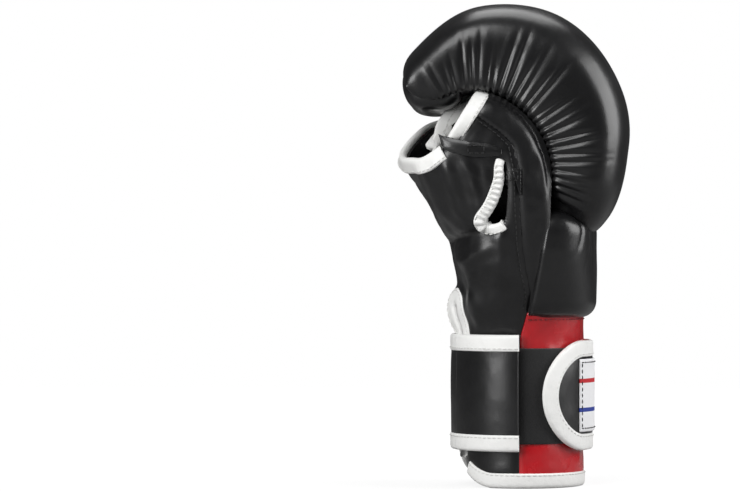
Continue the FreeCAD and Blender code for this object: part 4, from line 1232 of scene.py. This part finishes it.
def thumb_tape(rib_count, rib_depth):
    """The puckered tape round the thumb hole, and its row of stitches.

    It shows from the hole's top to its lower corner; beyond that the back's leather covers it.
    """
    rail, normals, share = thumb_rail()
    inward = outwards_of(rail, edge_frame(rail, normals, closed=True), rail.mean(axis=0))
    end = 0.645                              # share of the way round at the lower corner
    shown = share < end
    rail, normals, inward, share = rail[shown], normals[shown], inward[shown], share[shown] / end
    leg = tape_profile(4.8 * MM, WALL)
    run = run_along(rail)
    ribs = (0.5 + 0.5 * np.cos(run / run[-1] * rib_count * 2 * math.pi)) ** 0.6
    ribbed = step(share, 0.04, 0.12) * (1 - step(share, 0.7, 0.8))
    breadth = (0.72 + 0.28 * step(share, 0.0, 0.35) - 0.2 * step(share, 0.6, 0.8))[:, None]
    swell = np.ones((len(rail), len(leg), 2))
    swell[:, :, 1] += (ribs * ribbed * rib_depth / PROUD)[:, None]
    swell[:, :, 0] *= breadth
    tuck = 1 - step(share, 0.0, 0.05) + step(share, 0.95, 1.0)
    sunk = rail - normals * (2.6 * MM * tuck)[:, None]
    sewn = rail + inward * 3.7 * MM * breadth + normals * (PROUD + 0.6 * rib_depth)
    inner = (share > 0.08) & (share < 0.94)
    return sweep(sunk, normals, inward, leg, swell=swell), (sewn[inner], normals[inner])


def slit_tape():
    """The tape round the palm's slit, and its row of stitches."""
    rail, normals = slit_rail()
    middle = skin(turn_at_y(SLIT_Y, 60 * MM), 60 * MM)
    inward = outwards_of(rail, edge_frame(rail, normals), middle)
    return sweep(rail, normals, inward, tape_profile(TAPE, WALL)), (
        rail + inward * TAPE_SEWN + normals * PROUD, normals)


def thumb_patch():
    """The small patch of leather sewn over the thumb hole's corner."""
    low, high = corners("thumb_hole_patch")
    turns = np.linspace(1.5 * math.pi + 0.2, 1.5 * math.pi + 0.85, 60)
    heights = np.linspace(low[2] - 1 * MM, high[2] + 7 * MM, 40)
    fields = [lambda p: p[..., 0] - low[0] - 1 * MM, lambda p: high[0] + 1 * MM - p[..., 0],
              lambda p: p[..., 2] - low[2], lambda p: high[2] + 6 * MM - p[..., 2]]
    proud = 1.1 * MM
    return leather_sheet(turns, heights, fields, sink=-proud, wall=proud, roll=0.6 * MM, crinkle=0.5 * MM)


def finger_band():
    """The strip of leather between the thumb hole and the mouth, which joins the finger tubes."""
    turns, heights = np.linspace(1.16 * math.pi, 1.58 * math.pi, 150), np.arange(186, 206, 0.8) * MM
    fields = [lambda p: p[..., 0] + 43.4 * MM + 0.3 * (p[..., 2] - 199 * MM), lambda p: -9 * MM - p[..., 0],
              lambda p: np.interp(p[..., 0], *BAND_UPPER.T) - p[..., 2],
              lambda p: p[..., 2] - np.interp(p[..., 0], *BAND_LOWER.T)]
    return leather_sheet(turns, heights, fields, sink=-1.7 * MM, wall=2.4 * MM, roll=0.7 * MM, reach=1.4 * MM,
                         crinkle=0.5 * MM, seed=15)


class GLOVE_OT_palm(Operator):
    """Builds the palm, the red panel beside it, and the tapes round the mouth, thumb hole and slit"""

    bl_idname = "glove.palm"
    bl_label = "Palm"

    def execute(self, context):
        sizes = context.scene.glove_sizes
        turns, heights = np.linspace(0.55, 2 * math.pi - 0.55, 290), np.arange(86 * MM, 219 * MM, SPACING)
        fields = [seam_distance, mouth_distance, hole_distance, slit_distance, leaf_distance]
        palm = leather_sheet(turns, heights, fields, crinkle=0.85 * MM, roll=1.2 * MM)
        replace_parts(leather("palm_leather", palm), "palm_panel")
        turns, heights = np.linspace(0.85, 3.1, 190), np.arange(110 * MM, 219 * MM, SPACING)
        fields = [seam_distance, mouth_distance, lambda p: -leaf_distance(p)]
        leaf = leather_sheet(turns, heights, fields, seed=4)
        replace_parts(leather("little_side_leaf", leaf, "red_leather"), "little_side_panel")
        rows = []
        for name, node, (tape, row) in (
                ("mouth_tape", "mouth_binding", mouth_tape()),
                ("thumb_hole_tape", "thumb_hole_binding", thumb_tape(sizes.rib_count, sizes.rib_depth)),
                ("slit_tape", "slit_binding", slit_tape())):
            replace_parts(leather(name, tape, "white_tape"), node)
            rows.append(row)
        stitches("palm_tape_stitches", rows, "white_thread", "white_tape")
        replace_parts(leather("thumb_patch", thumb_patch()), "thumb_hole_patch")
        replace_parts(leather("finger_band_strip", finger_band()), "finger_band")
        return {"FINISHED"}


class GLOVE_OT_fingers(Operator):
    """Builds the four curled finger tubes with the tape round each opening"""

    bl_idname = "glove.fingers"
    bl_label = "Finger tubes"

    def execute(self, context):
        rows = []
        for name in FINGERS:
            tube, tape, (rail, normals, inward) = finger_tube(name)
            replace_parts(leather(name + "_tube", tube), name + "_finger_stall")
            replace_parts(leather(name + "_tape", tape, "white_tape"), name + "_finger_binding")
            rows.append((rail + inward * 5.8 * MM + normals * PROUD, normals, "closed"))
        stitches("finger_tape_stitches", rows, "white_thread", "white_tape")
        return {"FINISHED"}


RIM_LEVEL_X = CUFF_X - 16.5 * MM         # the rim is level behind this
RIM_RISE = 19 * MM                       # radius of the arc in which it rises ahead of it


def rim_height(x):
    """Lower edge of the cuff: level behind, and rising in an arc towards the slit."""
    ahead = np.clip(RIM_LEVEL_X - x, 0, RIM_RISE)
    return RIM_RISE - np.sqrt(RIM_RISE**2 - ahead**2)


def above_rim(margin):
    """A field: distance over a line that follows the rim, margin above it."""
    return lambda p: p[..., 2] - rim_height(p[..., 0]) - margin


def under_red_top(p):
    """Distance under the upper edge of the red cuff, which tucks in under the padded back."""
    return RED_TOP + np.where(p[..., 0] > 10 * MM, 3 * MM, 0.5 * MM) - p[..., 2]


def rim_rail():
    """The cuff's lower edge, from one side of the slit round the back to the other: points and normals."""
    past_slit = SLIT_GAP / 2 + 2 * MM
    thumb_stop, little_stop = (turn_at_y(SLIT_Y + away, 19 * MM) for away in (-past_slit, past_slit))
    turns = np.linspace(thumb_stop - 2 * math.pi, little_stop, 260)
    z = rim_height(outline(turns, 10 * MM)[..., 0])
    return skin(turns, z), skin_normal(turns, z)


class GLOVE_OT_cuff(Operator):
    """Builds the red cuff, the wrist flaps beside the slit, the rim's tape and the loop panel"""

    bl_idname = "glove.cuff"
    bl_label = "Cuff"

    def execute(self, context):
        heights = np.concatenate([np.arange(4, 100, 2.0), [100.5, 102, 104, 106]]) * MM
        fields = [lambda p: -seam_distance(p), above_rim(5 * MM), under_red_top]
        sheet = leather_sheet(np.linspace(-1.75, 1.75, 150), heights, fields, crinkle=0.7 * MM, seed=7)
        red = leather("cuff_back_red", sheet, "red_leather")
        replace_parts(red, "cuff_back_cover", "cuff_back_foam")
        for name, node, start, stop, way in (
                ("wrist_flap_thumb_leather", "wrist_flap_thumb", 1.0 * math.pi, 1.55 * math.pi, -1),
                ("wrist_flap_little_leather", "wrist_flap_little", 0.45 * math.pi, 1.2 * math.pi, 1)):
            fields = [seam_distance, slit_distance, above_rim(5 * MM),
                      lambda p, way=way: way * (p[..., 1] - SLIT_Y),
                      lambda p: CUFF_TOP + 1 * MM - p[..., 2]]
            turns, heights = np.linspace(start, stop, 90), np.arange(4, 90, 2.0) * MM
            sheet = leather_sheet(turns, heights, fields, seed=5 + way)
            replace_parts(leather(name, sheet), node)
        rail, normals = rim_rail()
        inward = edge_frame(rail, normals)
        inward = inward * np.sign(np.mean(inward[:, 2]))
        tape = sweep(rail + inward * 2.2 * MM, normals, inward, tape_profile(6.5 * MM, WALL))
        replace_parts(leather("rim_tape", tape, "white_tape"), "rim_binding")
        row = rail + inward * 7.6 * MM + normals * PROUD, normals
        stitches("rim_stitches", [row], "white_thread", "white_tape")
        low, high = corners("loop_panel")
        degrees = np.linspace(ROOT - 360 - 3.5, 10, 90)
        panel = slab(degrees, np.linspace(low[2], high[2], 56), 0.3 * MM, 1.2 * MM, 0.4 * MM)
        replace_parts(leather("loop_pile_panel", panel, "loop_fabric"), "loop_panel")
        return {"FINISHED"}


# the lining's furthest back, as height and x: it stays in front of the pads' foam
LINING_BACK = np.array([(88, 36), (104, 32), (130, 20), (152, 14.6)]) * MM
LINING_WALL = 1 * MM


class GLOVE_OT_lining(Operator):
    """Builds the cloth linings of the hand and the cuff"""

    bl_idname = "glove.lining"
    bl_label = "Lining"

    def execute(self, context):
        turns = np.linspace(0, 2 * math.pi, 241)
        fields = [hole_distance, slit_distance, mouth_distance, above_rim(8 * MM)]
        for name, node, low, high in (("hand_lining_cloth", "hand_lining", 89, 216),
                                      ("cuff_lining_cloth", "cuff_lining", 12, 89)):
            heights = np.arange(low, high, 2.5) * MM
            points, faces = leather_sheet(turns, heights, fields, sink=WALL + 0.3 * MM, wall=LINING_WALL)
            back = np.interp(points[:, 2], *LINING_BACK.T)
            back[len(points) // 2:] -= LINING_WALL
            points[:, 0] = np.minimum(points[:, 0], back)
            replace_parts(leather(name, (points, faces), "lining_fabric"), node)
        return {"FINISHED"}


def strap_point(degrees):
    """A point on the strap, half way up it."""
    return tuple(ring_point(degrees, STRAP_MIDDLE, STRAP_FACE).tolist())


class GLOVE_OT_strap(Operator):
    """Builds the strap's leather and tape in four lengths that follow the cuff's oval"""

    bl_idname = "glove.strap"
    bl_label = "Strap"

    def execute(self, context):
        lengths = (("palm", ROOT, CUTS[0], "glove", "strap_palm", ROOT, ROOT - 5),
                   ("side", CUTS[0], CUTS[1], "strap_palm", "strap_side", PALM_FOLD + 4, PALM_FOLD - 4),
                   ("back", CUTS[1], CUTS[2], "strap_side", "strap_back", SIDE_FOLD + 4, SIDE_FOLD - 4))
        for name, start, stop, before, after, bend_from, bend_to in lengths:
            band = leather(f"strap_{name}_leather", strap_sheet(start, stop), body=None)
            tapes, rails = strap_edge_tapes(start, stop)
            tape = leather(f"strap_{name}_tape", tapes, "white_tape", body=None)
            sewn = stitches(f"strap_{name}_stitches", rails, "white_thread", "white_tape", body=None)
            for part in (band, tape, sewn):
                strap_point(bend_from)
                strap_point(bend_to)
                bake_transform(part)
            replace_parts(band, f"strap_{name}_band")
            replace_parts(tape, f"strap_{name}_binding")
        end = leather("strap_tab_leather", tab_sheet(), body=None)
        rail, normals = tab_outline(0.0, STRAP_FACE)
        inward = unit(tab_outline(1 * MM, STRAP_FACE)[0] - rail)
        tape_section = tape_profile(STRAP_TAPE_WIDTH, STRAP_WALL, STRAP_TAPE)
        tape = leather("strap_tab_tape", sweep(rail, normals, inward, tape_section), "white_tape", body=None)
        row, row_normals = tab_outline(STRAP_SEWN, STRAP_FACE + STRAP_TAPE)
        sewn = stitches("strap_tab_stitches", [(row, row_normals)], "white_thread", "white_tape", body=None)
        for part in (end, tape, sewn):
            strap_point(TAB_FOLD + 2)
            strap_point(TAB_FOLD - 3)
            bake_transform(part)
        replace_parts(end, "strap_tab_band")
        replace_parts(tape, "strap_tab_binding")

        low, high = corners("back_hook_patch")
        hooks = slab(np.linspace(TAB_FOLD + 1, 9, 60), np.linspace(low[2], high[2], 30),
                     STRAP_OUT - 1.0 * MM, 0.8 * MM)
        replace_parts(leather("hook_patch_back", hooks, "hook_plastic", "strap_back"), "back_hook_patch")
        radius = 22 * MM
        run, height = np.meshgrid(np.linspace(4.5 * MM, radius, 30), np.linspace(-radius, radius, 41))
        degrees = degrees_past(run)
        points = ring_point(degrees, STRAP_MIDDLE + height, STRAP_OUT - 0.2 * MM)
        normals = ring_normal(degrees)
        edge = radius - np.hypot(run, height)
        hooks = cut_patch(points, normals, edge, 0.8 * MM)
        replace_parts(leather("hook_patch_tab", hooks, "hook_plastic", "strap_tab"), "tab_hook_patch")
        return {"FINISHED"}


class GLOVE_OT_label(Operator):
    """Builds the woven label on the strap's back, with its sewn border"""

    bl_idname = "glove.label"
    bl_label = "Label"

    def execute(self, context):
        low, high = corners("label_patch")
        out = STRAP_FACE + 0.7 * MM
        wall, margin = 0.8 * MM, 2 * MM
        degrees = np.linspace(-42, 51.5, 116)
        patch = slab(degrees, np.linspace(low[2], high[2], 50), out, wall, 0.35 * MM)
        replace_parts(leather("label_cloth", patch, "woven_label", "strap_back"), "label_patch")
        rows = []
        line = degrees[2:-2]
        for z in (low[2] + margin, high[2] - margin):
            rows.append((ring_point(line, z, out + wall), ring_normal(line)))
        for turn in (-39.5, 49):
            z = np.linspace(low[2] + margin, high[2] - margin, 30)
            line = np.full(30, turn)
            rows.append((ring_point(line, z, out + wall), ring_normal(line)))
        stitches("label_stitches", rows, "black_thread", "woven_label", "strap_back")
        return {"FINISHED"}


# boxes of stitches at the finger band and the thumb patch: x from and to, height from and to, in mm
BOX_STITCHES = ((-28, -19, 191.8, 196), (-6, 0, 176.5, 181.5))


class GLOVE_OT_stitching(Operator):
    """Sews the visible seams of the glove's body"""

    bl_idname = "glove.stitching"
    bl_label = "Seams"

    def execute(self, context):
        rows = []
        z = np.linspace(103, 214, 140) * MM
        for side in (-1, 1):
            turns = turn_at_x(seam_x(z) - 3.0 * MM, z, side)
            rows.append((skin(turns, z) + skin_normal(turns, z) * 0.15 * MM, skin_normal(turns, z)))
        for left, right, low, high in BOX_STITCHES:
            x = np.array([left, right, right, left, left]) * MM
            z = np.array([low, low, high, high, low]) * MM
            along = np.linspace(0, 4, 61)
            x, z = np.interp(along, range(5), x), np.interp(along, range(5), z)
            turns = turn_at_x(x, z, -1)
            rows.append((skin(turns, z) + skin_normal(turns, z) * 1.8 * MM, skin_normal(turns, z)))
        stitches("side_seam_stitches", rows, "black_thread", "black_leather")
        turns = np.linspace(-1.45, 1.45, 120)
        z = np.full_like(turns, RED_TOP - 3 * MM)
        stitches("cuff_seam_stitches", [(skin(turns, z), skin_normal(turns, z))], "red_thread", "red_leather")
        return {"FINISHED"}


# name, place and size in metres, power in watts
LAMPS = (
    ("left_softbox", (-0.8, -0.75, 0.36), 0.5, 7.0),
    ("right_softbox", (0.85, -0.15, 0.45), 0.7, 8.0),
    ("front_fill", (-0.4, -0.95, 1.1), 0.7, 9.0),
    ("top_light", (0.05, 0.25, 1.0), 0.6, 4.0),
)
FRAME_WIDTH = 0.4320             # what the view takes in, across the glove's middle
ASIDE = 0.0855                   # how far the glove stands right of the view's middle
FLOOR_SPAN = 1.6                 # from the middle to the paper's edge


class GLOVE_OT_stage(Operator):
    """Sets the floor, backdrop, studio light and camera"""

    bl_idname = "glove.stage"
    bl_label = "Stage"

    def execute(self, context):
        scene = context.scene
        scene.view_settings.view_transform = "Standard"
        world = bpy.data.worlds.new("studio_air")
        world.use_nodes = True
        scene.world = world
        tree = world.node_tree
        tree.nodes.clear()
        rays = add(tree, "ShaderNodeLightPath")
        soft = add(tree, "ShaderNodeBackground", {"Color": (1, 1, 1, 1), "Strength": 0.05})
        white = add(tree, "ShaderNodeBackground", {"Color": (1, 1, 1, 1), "Strength": 1.0})
        mix = add(tree, "ShaderNodeMixShader",
                  {0: rays.outputs["Is Camera Ray"], 1: soft.outputs[0], 2: white.outputs[0]})
        add(tree, "ShaderNodeOutputWorld", {"Surface": mix.outputs[0]})

        paper = bpy.data.materials.new("matt_white_paper")
        paper.use_nodes = True
        tree = paper.node_tree
        shader = tree.nodes["Principled BSDF"]
        shader.inputs["Roughness"].default_value = 0.95
        rays = add(tree, "ShaderNodeLightPath")
        # paler to the camera than to the light that bounces off it, so that black leather stays black
        tone = shade(tree, rays.outputs["Is Camera Ray"], (0.0, linear("#8c8c8c")), (1.0, linear("#f7f7f7")))
        tree.links.new(tone, shader.inputs["Base Color"])
        glow = add(tree, "ShaderNodeEmission", {"Color": (1, 1, 1, 1), "Strength": 1.06})
        place = add(tree, "ShaderNodeTexCoord").outputs["Object"]
        away = add(tree, "ShaderNodeVectorMath", {0: place}, operation="LENGTH").outputs["Value"]
        share = add(tree, "ShaderNodeMapRange", {"Value": away, "From Min": 0.08, "From Max": 0.3,
                                                 "To Min": 0.8, "To Max": 1.0}).outputs["Result"]
        seen = add(tree, "ShaderNodeMath", {0: rays.outputs["Is Camera Ray"], 1: share}, operation="MULTIPLY")
        mix = add(tree, "ShaderNodeMixShader", {0: seen.outputs[0], 1: shader.outputs[0], 2: glow.outputs[0]})
        tree.links.new(mix.outputs[0], tree.nodes["Material Output"].inputs["Surface"])
        points = [(x * FLOOR_SPAN, y * FLOOR_SPAN, 0) for x, y in ((-1, -1), (1, -1), (1, 1), (-1, 1))]
        floor = piece("floor_paper", points, [(0, 1, 2, 3)], paper, body=None)

        centre = (np.array(CAD_BOX[0]) + np.array(CAD_BOX[1])) / 2
        for name, place, size, power in LAMPS:
            lamp = bpy.data.lights.new(name, "AREA")
            lamp.shape, lamp.size, lamp.energy = "SQUARE", size, power
            made = bpy.data.objects.new(name, lamp)
            made.location = place
            made.rotation_euler = (Vector(centre) - Vector(place)).to_track_quat("-Z", "Y").to_euler()
            scene.collection.objects.link(made)

        data = bpy.data.cameras.new("camera")
        data.lens, data.sensor_width = 200, 36
        distance = FRAME_WIDTH * data.lens / data.sensor_width
        camera = bpy.data.objects.new("camera", data)
        camera.location = (centre[0], centre[1] - distance, centre[2])
        camera.rotation_euler = (math.pi / 2, 0, math.atan(ASIDE / distance))
        scene.collection.objects.link(camera)
        scene.camera = camera
        return {"FINISHED"}


class GLOVE_PT_panel(Panel):
    """Lists the glove's pieces in the sidebar"""

    bl_idname = "GLOVE_PT_panel"
    bl_label = "Sparring glove"
    bl_space_type = "VIEW_3D"
    bl_region_type = "UI"
    bl_category = "Glove"

    def draw(self, context):
        layout = self.layout
        for group in (context.scene.glove_sizes, context.scene.glove_colours):
            for key in group.__annotations__:
                layout.prop(group, key)
        for operator in OPERATORS:
            layout.operator(operator.bl_idname)


OPERATORS = (GLOVE_OT_knuckle_pad, GLOVE_OT_hand_back, GLOVE_OT_palm, GLOVE_OT_fingers, GLOVE_OT_cuff,
             GLOVE_OT_lining, GLOVE_OT_strap, GLOVE_OT_label, GLOVE_OT_stitching, GLOVE_OT_stage)
CLASSES = (GloveColours, GloveSizes, *OPERATORS, GLOVE_PT_panel)


def register():
    """Adds the classes and the scene's properties."""
    for made in CLASSES:
        bpy.utils.register_class(made)
    bpy.types.Scene.glove_colours = PointerProperty(type=GloveColours)
    bpy.types.Scene.glove_sizes = PointerProperty(type=GloveSizes)


def unregister():
    """Takes them away again."""
    del bpy.types.Scene.glove_sizes
    del bpy.types.Scene.glove_colours
    for made in reversed(CLASSES):
        bpy.utils.unregister_class(made)


def main():
    """Builds the glove and its stage."""
    register()
    for operator in OPERATORS:
        group, name = operator.bl_idname.split(".")
        getattr(getattr(bpy.ops, group), name)()


if __name__ == "__main__":
    main()
